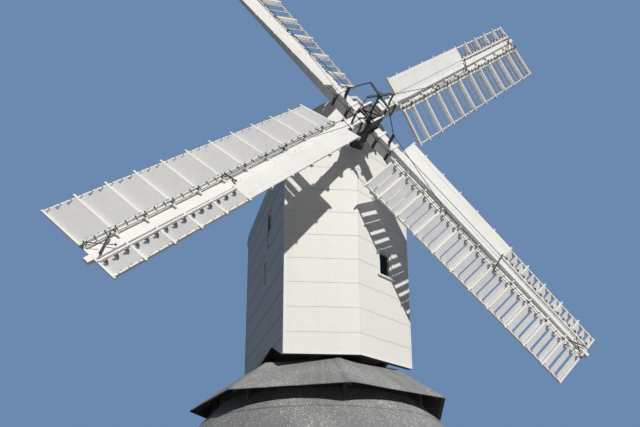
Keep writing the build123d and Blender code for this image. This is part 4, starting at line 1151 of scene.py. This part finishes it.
for side, name in ((-1, "left"), (1, "right")):
    paint_node(f"buck_roof_{name}", roof_paint)
    angles = [ridge_angle * step / arc_steps for step in range(arc_steps + 1)]
    angles = angles if side < 0 else angles[::-1]
    for lap in range(sheet_laps):
        start = verge_line + sheet_run * lap - sheet_overlap
        end = verge_line + sheet_run * (lap + 1)
        rows = []
        for share in (0, 0.5, 1):
            lift = roof_lift_edge + (roof_lift_head - roof_lift_edge) * share
            line = []
            for angle in angles:
                prow = verge_line + abs(arc_spot(side, angle, 0, 0).x) * prow_reach / buck_half
                first = start if lap else prow
                line.append(arc_spot(side, angle, first + (end - first) * share, lift))
            rows.append(line)
        sheet = f"roof_sheet_{name}_{lap + 1}"
        grid_skin(sheet, rows, False, roof_sheet_thickness, roof_paint, "buck", smooth=False)
ridge_line = ((0, verge_line + 0.03, ridge_height), (0, verge_back - 0.02, ridge_height))
rods("ridge_roll", [ridge_line], ridge_radius, roof_paint, "buck", 12)


# Windows of the buck: white casings nailed round the frames, each with a sill that stands out, and the
# hatch in the left side with a white lower leaf and, above it, black tarred boards that stand for the
# dark of an opening: painted shade.

casing_lap = 0.012
casing_gap = 0.004
casing_sill = 0.045
breast_window = (0.53, 0.79)
breast_window_low = 2.49
breast_window_aside = 1.028
side_window = (0.3, 0.85)
side_window_low = 2.75
side_window_place = -0.2
hatch_size = (0.37, 1.3)
hatch_low = buck_bottom + 3.8
hatch_place = -0.605
hatch_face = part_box("side_hatch")[0].x
hatch_board = 0.115
hatch_board_pitch = 0.1185
hatch_board_thickness = 0.014
hatch_strap = (0.33, 0.04, 0.006)
hatch_strap_heights = (0.12, 0.54, 0.8, 1.06)
hatch_strap_bolts = (-0.12, 0.0, 0.12)
left = -right
casings = bmesh.new()
hatch_boards = bmesh.new()
hatch_leaf = bmesh.new()
buck_bolts = []


def add_casing(middle, across, outward, size, width, proud, sill_out):
    """Four casing boards round an opening, the lowest a sill that stands further out."""
    base = middle + outward * (proud / 2 + casing_gap)
    for side in (-1, 1):
        spot = base + across * side * (size[0] / 2 + width / 2 - casing_lap)
        add_box(casings, spot, up, outward, (size[1], width, proud))
    spot = base + up * (size[1] / 2 + width / 2 - casing_lap)
    add_box(casings, spot, across, outward, (size[0] + 2 * width, width, proud + casing_gap))
    spot = base - up * (size[1] / 2 + casing_lap) + outward * sill_out / 2
    add_box(casings, spot, across, outward, (size[0] + 2 * width + 0.02, casing_sill, proud + sill_out))


breast_across = Vector((cos(prow_way), sin(prow_way), 0))
height = buck_bottom + breast_window_low + breast_window[1] / 2
spot = Vector((0, buck_front - prow_reach, height)) + breast_across * breast_window_aside
add_casing(spot, breast_across, breast_out[1], breast_window, 0.05, 0.018, 0.04)
spot = Vector((-buck_half, side_window_place, buck_bottom + side_window_low + side_window[1] / 2))
add_casing(spot, back, left, side_window, 0.04, 0.006, 0.01)
spot = Vector((-buck_half, hatch_place, hatch_low + hatch_size[1] / 2))
add_casing(spot, back, left, hatch_size, 0.04, 0.008, 0.012)
put_together("buck_casings", casings, trim_paint, "buck", 0.002)
paint_node("buck_windows", frame_paint)
paint_node("buck_glass", window_glass)
paint_node("side_hatch", tarred)
# Painted shade: the tarred boards in the upper part stand for the dark of an opening.
for shape, low, high in ((hatch_boards, 0.68, 1.17), (hatch_leaf, 0.01, 0.66), (hatch_leaf, 1.18, 1.29)):
    for number in (-1, 0, 1):
        x = hatch_face - hatch_board_thickness / 2
        middle = (x, hatch_place + number * hatch_board_pitch, hatch_low + (low + high) / 2)
        add_box(shape, middle, up, left, (high - low, hatch_board, hatch_board_thickness))
for height in hatch_strap_heights:
    add_box(hatch_boards, (hatch_face - 0.017, hatch_place, hatch_low + height), back, left, hatch_strap)
    for aside in hatch_strap_bolts:
        buck_bolts.append(((hatch_face - 0.02, hatch_place + aside, hatch_low + height), up, left, 1.0))
put_together("hatch_boards", hatch_boards, tarred, "buck", 0.002)
put_together("hatch_leaf", hatch_leaf, frame_paint, "buck", 0.002)


# Tail door: white planks with strap hinges and a thumb latch, under a small weather board and between
# painted jambs.

paint_node("tail_door", frame_paint)
door_low, door_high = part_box("tail_door")
door_rise = door_high.z - door_low.z
door_proud = 0.028
tail_face = door_high.y
tail_boards = 6
tail_board_pitch = (door_high.x - door_low.x) / tail_boards
tail_board_thickness = 0.014
tail_jamb_aside = 0.435
tail_jamb = (1.9, 0.07, door_proud)
weather_board = (1.06, 0.14, 0.022)
weather_tilt = (0, 1, -0.35)
tail_strap = (0.54, 0.045, 0.007)
tail_strap_heights = (0.35, 1.55)
tail_strap_bolts = (-0.34, -0.15, 0.08)
latch_ends = (-0.055, 0.055)
latch_plate = (0.19, 0.04, 0.008)
latch_grip = (0.12, 0.016, 0.012)
latch_stub = (0.03, 0.014, 0.012)
latch = Vector((0.33, tail_face, door_low.z + 0.98))
door_boards = bmesh.new()
door_trim = bmesh.new()
tail_irons = bmesh.new()
for number in range(tail_boards):
    x = door_low.x + (number + 0.5) * tail_board_pitch
    middle = (x, tail_face + tail_board_thickness / 2, door_low.z + door_rise / 2)
    size = (door_rise - 0.01, tail_board_pitch - 0.005, tail_board_thickness)
    add_box(door_boards, middle, up, back, size)
put_together("tail_door_boards", door_boards, frame_paint, "buck", 0.003)
for side in (-1, 1):
    y = buck_back + door_proud / 2 + casing_gap
    add_box(door_trim, (side * tail_jamb_aside, y, door_low.z + door_rise / 2), up, back, tail_jamb)
add_box(door_trim, (0, buck_back + 0.05, door_high.z + 0.05), right, weather_tilt, weather_board)
put_together("tail_door_casing", door_trim, trim_paint, "buck", 0.003)
for rise in tail_strap_heights:
    height = door_low.z + rise
    add_box(tail_irons, (-0.12, tail_face + 0.018, height), right, back, tail_strap)
    for x in tail_strap_bolts:
        buck_bolts.append(((x, tail_face + 0.0215, height), right, back, 1.0))
add_box(tail_irons, latch + back * 0.018, up, back, latch_plate)
add_box(tail_irons, latch + back * 0.045, up, back, latch_grip)
for end in latch_ends:
    add_box(tail_irons, latch + back * 0.033 + up * end, back, up, latch_stub)
put_together("tail_door_irons", tail_irons, black_iron, "buck", 0.0015)
repeat("buck_bolts", buck_bolts, nut, (0.009, 0.006), black_iron, "buck")


# Inside of the buck: bare floor boards, the oak sheers and crown tree that hang it on the post, and
# the beams that carry the windshaft. They show only from below and through the openings.


def board_finish(name, across, light=(0.34, 0.25, 0.16), dark=(0.2, 0.14, 0.09), width=0.19):
    """Bare worn boards: joints across one axis, grain along the other."""
    material, tree, place = finish(name)
    boards = counted(tree, "DIVIDE", axis(tree, place, across), width)
    number = counted(tree, "FLOOR", boards)
    board = add(tree, "ShaderNodeTexWhiteNoise", {1: number}, noise_dimensions="1D")
    joint = from_half(tree, counted(tree, "FRACT", boards))
    grain = cloud(tree, place, 1.0, 6.0, (34, 2, 34) if across == "X" else (2, 34, 34), 0.6)
    tones = ((grain, 0.3, 0.7, 1.0, dark), (board, 0.0, 1.0, 0.4, dark))
    colour = laid(tree, light, *tones, (joint, 0.475, 0.49, 1.0, (0.03, 0.025, 0.02)))
    gap = taken(tree, joint, 0.475, 0.49)
    relief = counted(tree, "SUBTRACT", counted(tree, "MULTIPLY", grain, 0.4), gap)
    return worn(material, colour, (grain, 0.3, 0.7, 0.6, 0.8), relief, 0.003)


floor_boards = board_finish("floor_boards", "X")
for node in ("buck_floor", "stone_floor", "bin_floor"):
    paint_node(node, floor_boards)
paint_node("sheers", fore_oak)
paint_node("crown_tree", cross_oak)
paint_node("shaft_beams", cross_oak)


# Tail landing: white painted boards on two joists, with posts and rails bolted to them. It takes the
# place of the plain landing of the frame, board by board.

rail_paint = paint_finish("rail_paint", (0.8, 0.8, 0.78), dirt_share=0.4)
deck_paint = paint_finish("deck_paint", (0.62, 0.61, 0.57), (0.3, 0.26, 0.2), 0.7, 0.55, (3, 20, 3))
landing_low, landing_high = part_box("tail_landing")
landing_front = landing_low.y
landing_back = landing_high.y
landing_half = landing_high.x
landing_middle = (landing_front + landing_back) / 2
landing_length = landing_back - landing_front
deck_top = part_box("buck_floor")[1].z
deck_thickness = 0.035
deck_count = 11
deck_gap = 0.007
deck_pitch = landing_length / deck_count
joist_width = 0.16
joist_depth = deck_top - deck_thickness - landing_low.z
rail_size = 0.06
rail_height = 0.9
rail_box = (landing_length - 0.004, rail_size - 0.014, rail_size - 0.006)
landing = bmesh.new()
for number in range(deck_count):
    middle = (0, landing_front + (number + 0.5) * deck_pitch, deck_top - deck_thickness / 2)
    add_box(landing, middle, right, up, (2 * landing_half, deck_pitch - deck_gap, deck_thickness))
for side in (-1, 1):
    middle = (side * (landing_half - joist_width / 2), landing_middle, landing_low.z + joist_depth / 2)
    add_box(landing, middle, back, up, (landing_length, joist_width, joist_depth))
    x = side * (landing_half - rail_size / 2)
    for y in (landing_front + rail_size / 2, landing_middle, landing_back - rail_size / 2):
        middle = (x, y, deck_top + rail_height / 2)
        add_box(landing, middle, up, back, (rail_height, rail_size, rail_size))
    for height in (rail_height - rail_size / 2, rail_height / 2):
        add_box(landing, (x, landing_middle, deck_top + height), back, up, rail_box)
landing_piece = put_together("landing_boards", landing, deck_paint, "buck", 0.004)
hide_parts("tail_landing")


# Ladder: two long strings with housed treads and a handrail on posts at each side, white but for the
# worn treads. Each tread is tied by a nut at each end, each post by two.

paint_node("ladder_sides", rail_paint)
paint_node("ladder_treads", board_finish("tread_wood", "Y", (0.4, 0.35, 0.28), (0.24, 0.2, 0.16), 0.6))
string_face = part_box("ladder_sides")[1].x
ladder_run = deck_top - 0.25
tread_rise = 0.225
tread_count = floor(ladder_run / tread_rise)
tread_nut = (-0.13, 0.02)
post_count = 7
post_pitch = (ladder_run - rail_size) / (post_count - 1)
post_nuts = (0.06, 0.14)
ladder_nuts = []


def tie_ladder(side, along, down):
    """A nut on the outer face of one string, from the ladder's top along and down."""
    spot = (side * string_face, landing_back + along, deck_top - down)
    ladder_nuts.append((spot, up, right * side, 1.0))


for step in range(1, tread_count + 1):
    for side in (-1, 1):
        tie_ladder(side, step * tread_rise + tread_nut[0], step * tread_rise + tread_nut[1])
for post in range(post_count):
    start = post * post_pitch + rail_size / 2
    for side in (-1, 1):
        for below in post_nuts:
            tie_ladder(side, start, start + below)
repeat("ladder_nuts", ladder_nuts, nut, (0.013, 0.009), rail_paint, "buck")


# Tail pole: a square white timber from the sheers, chamfered, with wrought iron bands round it and a
# drawing eye under its end.

paint_node("tail_pole", rail_paint)
pole_slope = radians(30)
pole_size = 0.2
pole_start = Vector((0, buck_back, 5.7803))
pole_way = Vector((0, cos(pole_slope), -sin(pole_slope)))
pole_up = Vector((0, sin(pole_slope), cos(pole_slope)))
band_places = (0.35, 3.1, 5.9, 8.55)
band_width = 0.07
band_thickness = 0.006
eye_radius = 0.045
pole_bands = bmesh.new()
for along in band_places:
    for way in (pole_up, right):
        for side in (-1, 1):
            spot = pole_start + pole_way * along + way * side * (pole_size + band_thickness) / 2
            size = (band_width, pole_size + 2 * band_thickness, band_thickness)
            add_box(pole_bands, spot, pole_way, way * side, size)
eye = pole_start + pole_way * band_places[-1] - pole_up * (pole_size / 2 + 0.05)
add_ring(pole_bands, eye, pole_way, pole_up, right, eye_radius, 12, (0.026, 0.014, 0.014))
put_together("pole_bands", pole_bands, black_iron, "buck", 0.0015)


# Windshaft: dark cast iron, greased where it runs in its two bearings. The frame's own shaft and
# bearings show, and only their finish is made here.


def shaft_finish():
    """Dark cast iron, oily and streaked round the shaft."""
    material, tree, place = finish("greased_iron", 0.7)
    rings = cloud(tree, place, 1.0, 4.0, (3, 40, 3))
    fine = cloud(tree, place, 120.0, 4.0)
    oily = (rings, 0.35, 0.65, 1.0, (0.045, 0.04, 0.036))
    rust = (fine, 0.55, 0.75, 0.5, (0.12, 0.06, 0.035))
    colour = laid(tree, (0.09, 0.09, 0.095), oily, rust)
    return worn(material, colour, (rings, 0.3, 0.7, 0.3, 0.55), fine, 0.001)


shaft_iron = shaft_finish()
paint_node("windshaft", shaft_iron)
paint_node("shaft_bearings", shaft_iron)


# Stocks and whips: long tapered timbers, primed and painted white. The whips carry the bars, and each
# is bolted through its stock.

sail_joint = next(joint for joint in frame["record"]["behaviour"]["joints"] if joint["name"] == "sail_spin")
hub = Vector(sail_joint["pos_m"])
shaft_forward = Vector(sail_joint["axis"])
shaft_up = shaft_forward.cross(right)
sail_turn = radians(44.3)
rear_setback = 0.237
sail_paint = paint_finish("sail_paint", (0.8, 0.8, 0.785), (0.4, 0.4, 0.36), 0.25, 0.45, (4, 4, 4), False)
shutter_dirt = (0.42, 0.42, 0.4)
shutter_paint = paint_finish("shutter_paint", (0.81, 0.81, 0.82), shutter_dirt, 0.2, 0.55, (6, 6, 6), False)
sails = range(4)
for index in sails:
    paint_node(f"sail_frame_{index + 1}", sail_paint)
paint_node("stocks", sail_paint)
paint_node("leading_boards", sail_paint)
paint_node("sail_shutters", shutter_paint)


def sail_axes(index):
    """The middle, the way out along the whip and the way to the leading side of one sail."""
    turn = sail_turn + index * pi / 2
    outward = right * cos(turn) + shaft_up * sin(turn)
    origin = hub - shaft_forward * (rear_setback if index % 2 else 0.0)
    return origin, outward, shaft_forward.cross(outward)


heel_bar = 1.3
bay_pitch = 0.684
last_bar = 11
bars = range(last_bar + 1)
board_bar = 6
bar_rise = 0.012
bar_depth = 0.05
heel_weather = radians(18.5)
tip_weather = radians(9)
leading_flatter = radians(2.5)
trailing_reach = -1.312
leading_reach = 0.542
whip_heel = 0.36
whip_tip = 8.76
whip_widths = (0.23, 0.112)
whip_depths = (0.13, 0.1)
whip_back = -0.065
whip_nut_places = (0.5, 0.8, 1.16, 1.7, 2.4, 3.1, 3.8, 4.5, 4.9)
peg_edge = 0.03


def along_whip(bar):
    """Distance of a bar from the shaft's axis; bar 0 is the heel bar."""
    return heel_bar + (bay_pitch * (bar - 0.3) if bar else 0.0)


tip_bar = along_whip(last_bar)
board_end = along_whip(board_bar)


def on_sail(index, place, reach, lift=0.0):
    """A point of the twisted sail and its ways: along the whip, to the leading side, and forwards."""
    origin, outward, lead = sail_axes(index)
    flatter = leading_flatter if reach > 0 else 0.0
    share = (place - heel_bar) / (tip_bar - heel_bar)
    heel = heel_weather - flatter
    tip = tip_weather - flatter
    across = lead * (cos(heel) + (cos(tip) - cos(heel)) * share)
    across += shaft_forward * (sin(heel) + (sin(tip) - sin(heel)) * share)
    forwards = outward.cross(across.normalized())
    point = origin + outward * place + across * reach + shaft_forward * bar_rise + forwards * lift
    return point, outward, across.normalized(), forwards


def on_whip(index, place, aside, lift):
    """A point by the whip, which isn't twisted, and the same three ways."""
    origin, outward, lead = sail_axes(index)
    return origin + outward * place + lead * aside + shaft_forward * lift, outward, lead, shaft_forward


def along_taper(place, heel, tip):
    """A size of the whip at a place along it, from its sizes at the heel and the tip."""
    return heel + (tip - heel) * (place - whip_heel) / (whip_tip - whip_heel)


def whip_half(place):
    """Half the whip's width at a place along it."""
    return along_taper(place, *whip_widths) / 2


def whip_front(place):
    """Height of the whip's front face over its middle at a place along it."""
    return whip_back + along_taper(place, *whip_depths)


whip_nuts = []
bar_pegs = []
for index in sails:
    for place in whip_nut_places:
        point, along, lead, forwards = on_whip(index, place, 0, whip_front(place) + 0.002)
        whip_nuts.append((point, along, forwards, 1.0))
    for bar in bars:
        place = along_whip(bar)
        for side in (-1, 1):
            aside = side * (whip_half(place) - peg_edge)
            point, along, lead, forwards = on_whip(index, place, aside, whip_front(place) + 0.001)
            bar_pegs.append((point, along, forwards, 1.0))
repeat("whip_nuts", whip_nuts, nut, (0.013, 0.009), sail_paint, "sails")
repeat("bar_pegs", bar_pegs, nut, (0.006, 0.004), sail_paint, "sails")


# Sail bars: each bar is faced with a batten that stands out between the shutters and runs on past the
# outer lath as a nib. Thin boards close the sail beside the whip, behind the bars and in front of them.

batten_width = 0.044
batten_low = 0.024
batten_high = 0.056
nib_reach = 0.07
board_inner = 0.14
board_outer = 0.5645
board_heel = 1.275
back_lift = -0.037
back_thickness = 0.011
back_edge = 0.332
back_inner = 0.05
back_lead = 0.203
tip_nib = 0.03
inner_end = -0.355
leading_end = 0.2
board_nib = 0.045
battens = []
back_boards = bmesh.new()


def add_link(spots, start, end, outward):
    """A straight block from one point to another, for a repeated piece."""
    spots.append(((start + end) / 2, end - start, outward, (end - start).length))


def add_run(shape, spots, width, thickness):
    """A straight strip from the first spot to the last, twisting between them."""
    rings = []
    for point, along, across, forwards in spots:
        side = across * width / 2
        front = forwards * thickness
        corners = (point - side, point + side, point + side + front, point - side + front)
        rings.append([shape.verts.new(corner) for corner in corners])
    shape.faces.new(rings[0])
    shape.faces.new(rings[-1][::-1])
    for first, last in zip(rings, rings[1:]):
        for number in range(4):
            after = (number + 1) % 4
            shape.faces.new((first[after], first[number], last[number], last[after]))


def run_along(index, start, end, reach, lift, parts=4):
    """Spots along one sail at a reach, from a start to an end."""
    return [on_sail(index, start + (end - start) * part / parts, reach, lift) for part in range(parts + 1)]


for index in sails:
    for bar in bars:
        is_tip = bar == last_bar
        nib = tip_nib if is_tip else nib_reach
        place = tip_bar - 0.007 if is_tip else along_whip(bar)
        inner = leading_end if bar >= board_bar else board_outer + 0.002
        outer = leading_reach + nib if bar >= board_bar else board_outer + board_nib
        lift = 0.002 if is_tip else (batten_low + batten_high) / 2
        for first, last in ((trailing_reach - nib, inner_end), (inner, outer)):
            start = on_sail(index, place, first, lift)[0]
            end, along, across, forwards = on_sail(index, place, last, lift)
            add_link(battens, start, end, forwards)
    for start, end, first, last, lift in (
        (heel_bar, tip_bar, -back_edge, -back_inner, back_lift),
        (board_end, tip_bar, back_inner, back_lead, back_lift),
        (board_heel, board_end, back_inner, board_inner, bar_depth / 2 + 0.001),
    ):
        spots = run_along(index, start, end, (first + last) / 2, lift, 8)
        add_run(back_boards, spots, last - first, back_thickness)
batten_size = (batten_width, batten_high - batten_low)
repeat("bar_battens", battens, block, batten_size, sail_paint, "sails")
put_together("back_boards", back_boards, sail_paint, "sails", 0.001)


# Poll end: a big cast iron box on the nose of the windshaft, flanged round both mouths, that the two
# stocks pass through and are wedged in with oak folding wedges.


def casting_finish():
    """Weathered grey casting: worn paint over iron, with pale and rusty patches and dark specks."""
    material, tree, place = finish("poll_iron", 0.25)
    patches = cloud(tree, place, 5.0, 6.0, rough=0.65)
    fine = cloud(tree, place, 60.0, 4.0)
    pale = (patches, 0.4, 0.6, 1.0, (0.115, 0.118, 0.118))
    rust = (patches, 0.35, 0.25, 0.7, (0.08, 0.04, 0.025))
    dark = (fine, 0.55, 0.75, 0.5, (0.025, 0.025, 0.027))
    colour = laid(tree, (0.055, 0.057, 0.058), pale, rust, dark)
    return worn(material, colour, (fine, 0.3, 0.7, 0.5, 0.75), fine, 0.0012)


poll_iron = casting_finish()
paint_node("poll_end", poll_iron)
poll_half = 0.265
poll_front = 0.028
mouth_half_depth = 0.1125
mouth_half_width = 0.15
flange_out = 0.03
flange_width = 0.05
flange_length = 0.5
stock_middles = (-0.1778, -0.4148)
mouth_bolts = (-0.17, 0.0, 0.17)
side_bolt_out = 0.19
corner_bolt_out = 0.27
wedge_size = (0.12, 0.05, 0.02)
face_strip = (2 * poll_half, 0.05, 0.022)
face_rib = (0.2, 0.03, 0.024)
edge_strip = (2 * poll_half + 0.06, 0.055, 0.012)
flanges = bmesh.new()
edge_strips = bmesh.new()
wedges = bmesh.new()
poll_bolts = []
origin, outward, lead = sail_axes(0)
for depth, (way, other) in zip(stock_middles, ((outward, lead), (lead, outward))):
    for side in (-1, 1):
        out = way * side
        face = origin + out * poll_half + shaft_forward * depth
        for edge in (-1, 1):
            rim = face + shaft_forward * edge * (mouth_half_depth + flange_width / 2)
            spot = rim + out * flange_out / 2
            add_box(flanges, spot, other, out, (flange_length, flange_width * 0.86, flange_out))
            spot = face + other * edge * (mouth_half_width + flange_width / 2) + out * flange_out / 2
            add_box(flanges, spot, shaft_forward, out, (2 * mouth_half_depth, flange_width, flange_out))
            for aside in mouth_bolts:
                poll_bolts.append((rim + out * flange_out + other * aside, other, out, 1.0))
            spot = face + other * edge * 0.07 + shaft_forward * 0.1 + out * 0.06
            add_box(wedges, spot, out, shaft_forward, wedge_size)
front = hub + shaft_forward * poll_front
for way, other in ((outward, lead), (lead, outward)):
    for side in (-1, 1):
        spot = front + way * side * (poll_half - 0.025) + shaft_forward * 0.011
        add_box(flanges, spot, other, shaft_forward, face_strip)
for number in range(8):
    corner = number % 2
    way = outward * cos(number * pi / 4) + lead * sin(number * pi / 4)
    bolt_out = corner_bolt_out if corner else side_bolt_out
    poll_bolts.append((front + way * bolt_out, way, shaft_forward, 1.0))
    if corner:
        add_box(flanges, front + way * 0.13 + shaft_forward * 0.012, way, shaft_forward, face_rib)
for side in (-1, 1):
    spot = front + lead * side * (poll_half - 0.02) + shaft_forward * 0.028
    add_box(edge_strips, spot, outward, shaft_forward, edge_strip)
put_together("poll_edge_strips", edge_strips, sail_paint, "sails", 0.002)
put_together("poll_flanges", flanges, poll_iron, "sails", 0.004)
put_together("stock_wedges", wedges, cross_oak, "sails", 0.003)
repeat("poll_bolts", poll_bolts, nut, (0.02, 0.016), black_iron, "sails")


# Stock clamps: wrought iron straps round each whip and stock, drawn tight by a pair of bolts through
# lugs at each side.


def clamp_finish():
    """Iron straps, painted white with the whip on their front and black round the sides."""
    material, tree, place = finish("clamp_paint", 0.2)
    way = add(tree, "ShaderNodeTexCoord", out="Normal")
    facing = add(tree, "ShaderNodeVectorMath", {0: way, 1: shaft_forward}, "Value", operation="DOT_PRODUCT")
    rust = cloud(tree, place, 14.0, 5.0)
    white = laid(tree, (0.72, 0.72, 0.7), (rust, 0.6, 0.72, 1.0, (0.3, 0.2, 0.13)))
    black = laid(tree, (0.03, 0.03, 0.033), (rust, 0.55, 0.75, 1.0, (0.09, 0.05, 0.03)))
    colour = laid(tree, black, (facing, 0.7, 0.8, 1.0, white))
    return worn(material, colour, (rust, 0.3, 0.7, 0.4, 0.6), rust, 0.001)


paint_node("stock_clamps", clamp_finish())
clamp_places = (0.56, 1.04)
lug_aside = 0.178
lug_size = (0.08, 0.05, 0.02)
shank_size = (0.12, 0.022, 0.022)
clamp_lugs = bmesh.new()
clamp_bolts = []
for index in sails:
    for place in clamp_places:
        for side in (-1, 1):
            lift = whip_front(place) + lug_size[2] / 2
            point, along, lead, forwards = on_whip(index, place, side * lug_aside, lift)
            add_box(clamp_lugs, point, along, forwards, lug_size)
            clamp_bolts.append((point + forwards * 0.01, along, forwards, 1.0))
            add_box(clamp_lugs, point - forwards * 0.06, forwards, along, shank_size)
put_together("clamp_lugs", clamp_lugs, sail_paint, "sails", 0.002)
repeat("clamp_bolts", clamp_bolts, nut, (0.019, 0.016), sail_paint, "sails")


# Leading boards: two wide planks on the front of the bars from the heel to the board's last bar, with a
# fine joint between them and bolts at the bars.

plank_skin = 0.003
plank_joint = 0.003
board_face = bar_depth / 2 + 0.0003 + 0.024
plank_edges = (0.0, 0.72, 1.0)
board_bolt_lines = (0.2, 0.36, 0.51)
board_bolt_edge = 0.03
board_planks = bmesh.new()
board_bolts = []
for index in sails:
    for first, last in zip(plank_edges, plank_edges[1:]):
        inner = board_inner + (board_outer - board_inner) * first
        outer = board_inner + (board_outer - board_inner) * last
        middle = (inner + outer) / 2
        spots = run_along(index, board_heel, board_end, middle, board_face)
        add_run(board_planks, spots, outer - inner - plank_joint, plank_skin)
    for bar in range(board_bar + 1):
        place = max(along_whip(bar), board_heel + board_bolt_edge)
        place = min(place, board_end - board_bolt_edge)
        for reach in board_bolt_lines:
            point, along, across, forwards = on_sail(index, place, reach, board_face + plank_skin)
            board_bolts.append((point, along, forwards, 1.0))
put_together("board_planks", board_planks, sail_paint, "sails", 0.0015)
repeat("board_bolts", board_bolts, nut, (0.007, 0.003), sail_paint, "sails")


# Shutter gear: each shutter turns on iron pivots in the laths, and a short iron crank joins it to the
# rod beside the whip, so that one pull on the rod opens them all.

inner_rail = -0.345
rod_line = -0.235
leading_rail = 0.215
rod_lift = 0.036
pin_lift = rod_lift + 0.02
heel_lift = 0.022
crank_throw = 0.03
pivot_lift = 0.032
pivot_length = 0.03
gusset_inset = 0.016
pivot_spots = []
crank_spots = []
rod_pin_spots = []
gusset_and_shade_spots = []


def gusset(tree, given):
    """A three-cornered iron plate lying flat on its spot."""
    inputs = {"Vertices": 3, "Radius": given["Width"], "Depth": given["Thickness"]}
    return add(tree, "GeometryNodeMeshCylinder", inputs)


for index in sails:
    for bay in range(last_bar):
        start = along_whip(bay)
        length = along_whip(bay + 1) - start
        count = 3 if bay else 2
        for number in range(count):
            place = start + length * (number + 0.5) / count
            point, along, across, forwards = on_sail(index, place, trailing_reach, pivot_lift)
            pivot_spots.append((point, across, forwards, pivot_length))
            heel = on_sail(index, place, inner_rail - 0.006, heel_lift)[0]
            throw = on_sail(index, place + crank_throw, inner_rail, heel_lift + crank_throw)[0]
            pin = on_sail(index, place + 2 * crank_throw, rod_line, pin_lift)[0]
            add_link(crank_spots, heel, throw, across)
            add_link(crank_spots, throw, pin, forwards)
            rod_pin_spots.append((pin, along, forwards, 1.0))
            if bay >= board_bar:
                point, along, across, forwards = on_sail(index, place, leading_reach, pivot_lift)
                pivot_spots.append((point, across, forwards, pivot_length))
                # Black triangles by the leading rail: iron plates, and painted shade for the dark saw-tooth
                # at the ends of the open shutters.
                point = on_sail(index, place, leading_rail + gusset_inset, rod_lift)[0]
                gusset_and_shade_spots.append((point, across, forwards, 1.0))
    for bar in bars:
        point, along, across, forwards = on_sail(index, along_whip(bar), rod_line - 0.02, pin_lift)
        gusset_and_shade_spots.append((point, along - across, forwards, 1.0))

repeat("shutter_pivots", pivot_spots, block, (0.013, 0.007), black_iron, "sails")
repeat("shutter_cranks", crank_spots, block, (0.018, 0.01), black_iron, "sails")
repeat("rod_pins", rod_pin_spots, nut, (0.009, 0.008), black_iron, "sails")
repeat("rod_gussets_and_painted_shade", gusset_and_shade_spots, gusset, (0.058, 0.007), black_iron, "sails")


# Levers and link rods: flat iron levers at the board's end and near the tip pass the pull of the spider
# from one rod to the other; a thin rod joins the heel crank to them along the whip. Near the tip a thin
# black bar crosses the lever where its shadow falls: painted shadow.

paint_node("striking_gear", black_iron)
lever_width = 0.042
lever_thickness = 0.012
lever_lift = 0.085
link_radius = 0.008
crank_place = 0.86
crank_rise = 0.23
bracket_spot = (3.28, -0.2)
link_end = (5.06, -0.2)
bay_levers = (
    ((5.24, 0.11), link_end, lever_width),
    ((5.24, 0.11), link_end, lever_width),
    ((5.1, -0.27), (5.08, 0.04), lever_width),
    ((5.28, -0.36), (5.16, 0.16), lever_width),
)
# The second, thin bar is painted shadow: a black bar laid where the tip lever's shadow falls.
tip_lever_and_painted_shadow = (((8.06, -0.2), (8.5, 0.06), 0.036), ((8.52, -0.26), (8.16, 0.06), 0.014))
levers = bmesh.new()
lever_pins = []
link_lines = []
for index in sails:
    for start, end, width in (bay_levers[index], *tip_lever_and_painted_shadow):
        first = on_sail(index, *start, lever_lift)[0]
        last, along, across, forwards = on_sail(index, *end, lever_lift)
        way = last - first
        add_box(levers, (first + last) / 2, way, forwards, (way.length, width, lever_thickness))
        lever_pins.append((first, along, forwards, 1.0))
        lever_pins.append((last, along, forwards, 1.0))
    crank_head = on_whip(index, crank_place, 0.0, whip_front(crank_place) + crank_rise)[0]
    bracket = on_sail(index, *bracket_spot, lever_lift)[0]
    link_lines.append((crank_head, bracket))
    link_lines.append((bracket, on_sail(index, *link_end, lever_lift)[0]))
    add_box(levers, on_sail(index, *bracket_spot, 0.06)[0], along, forwards, (0.04, 0.04, 0.06))
put_together("cross_levers", levers, black_iron, "sails", 0.002)
rods("link_rods", link_lines, link_radius, black_iron, "sails")
repeat("lever_pins", lever_pins, nut, (0.014, 0.026), black_iron, "sails")
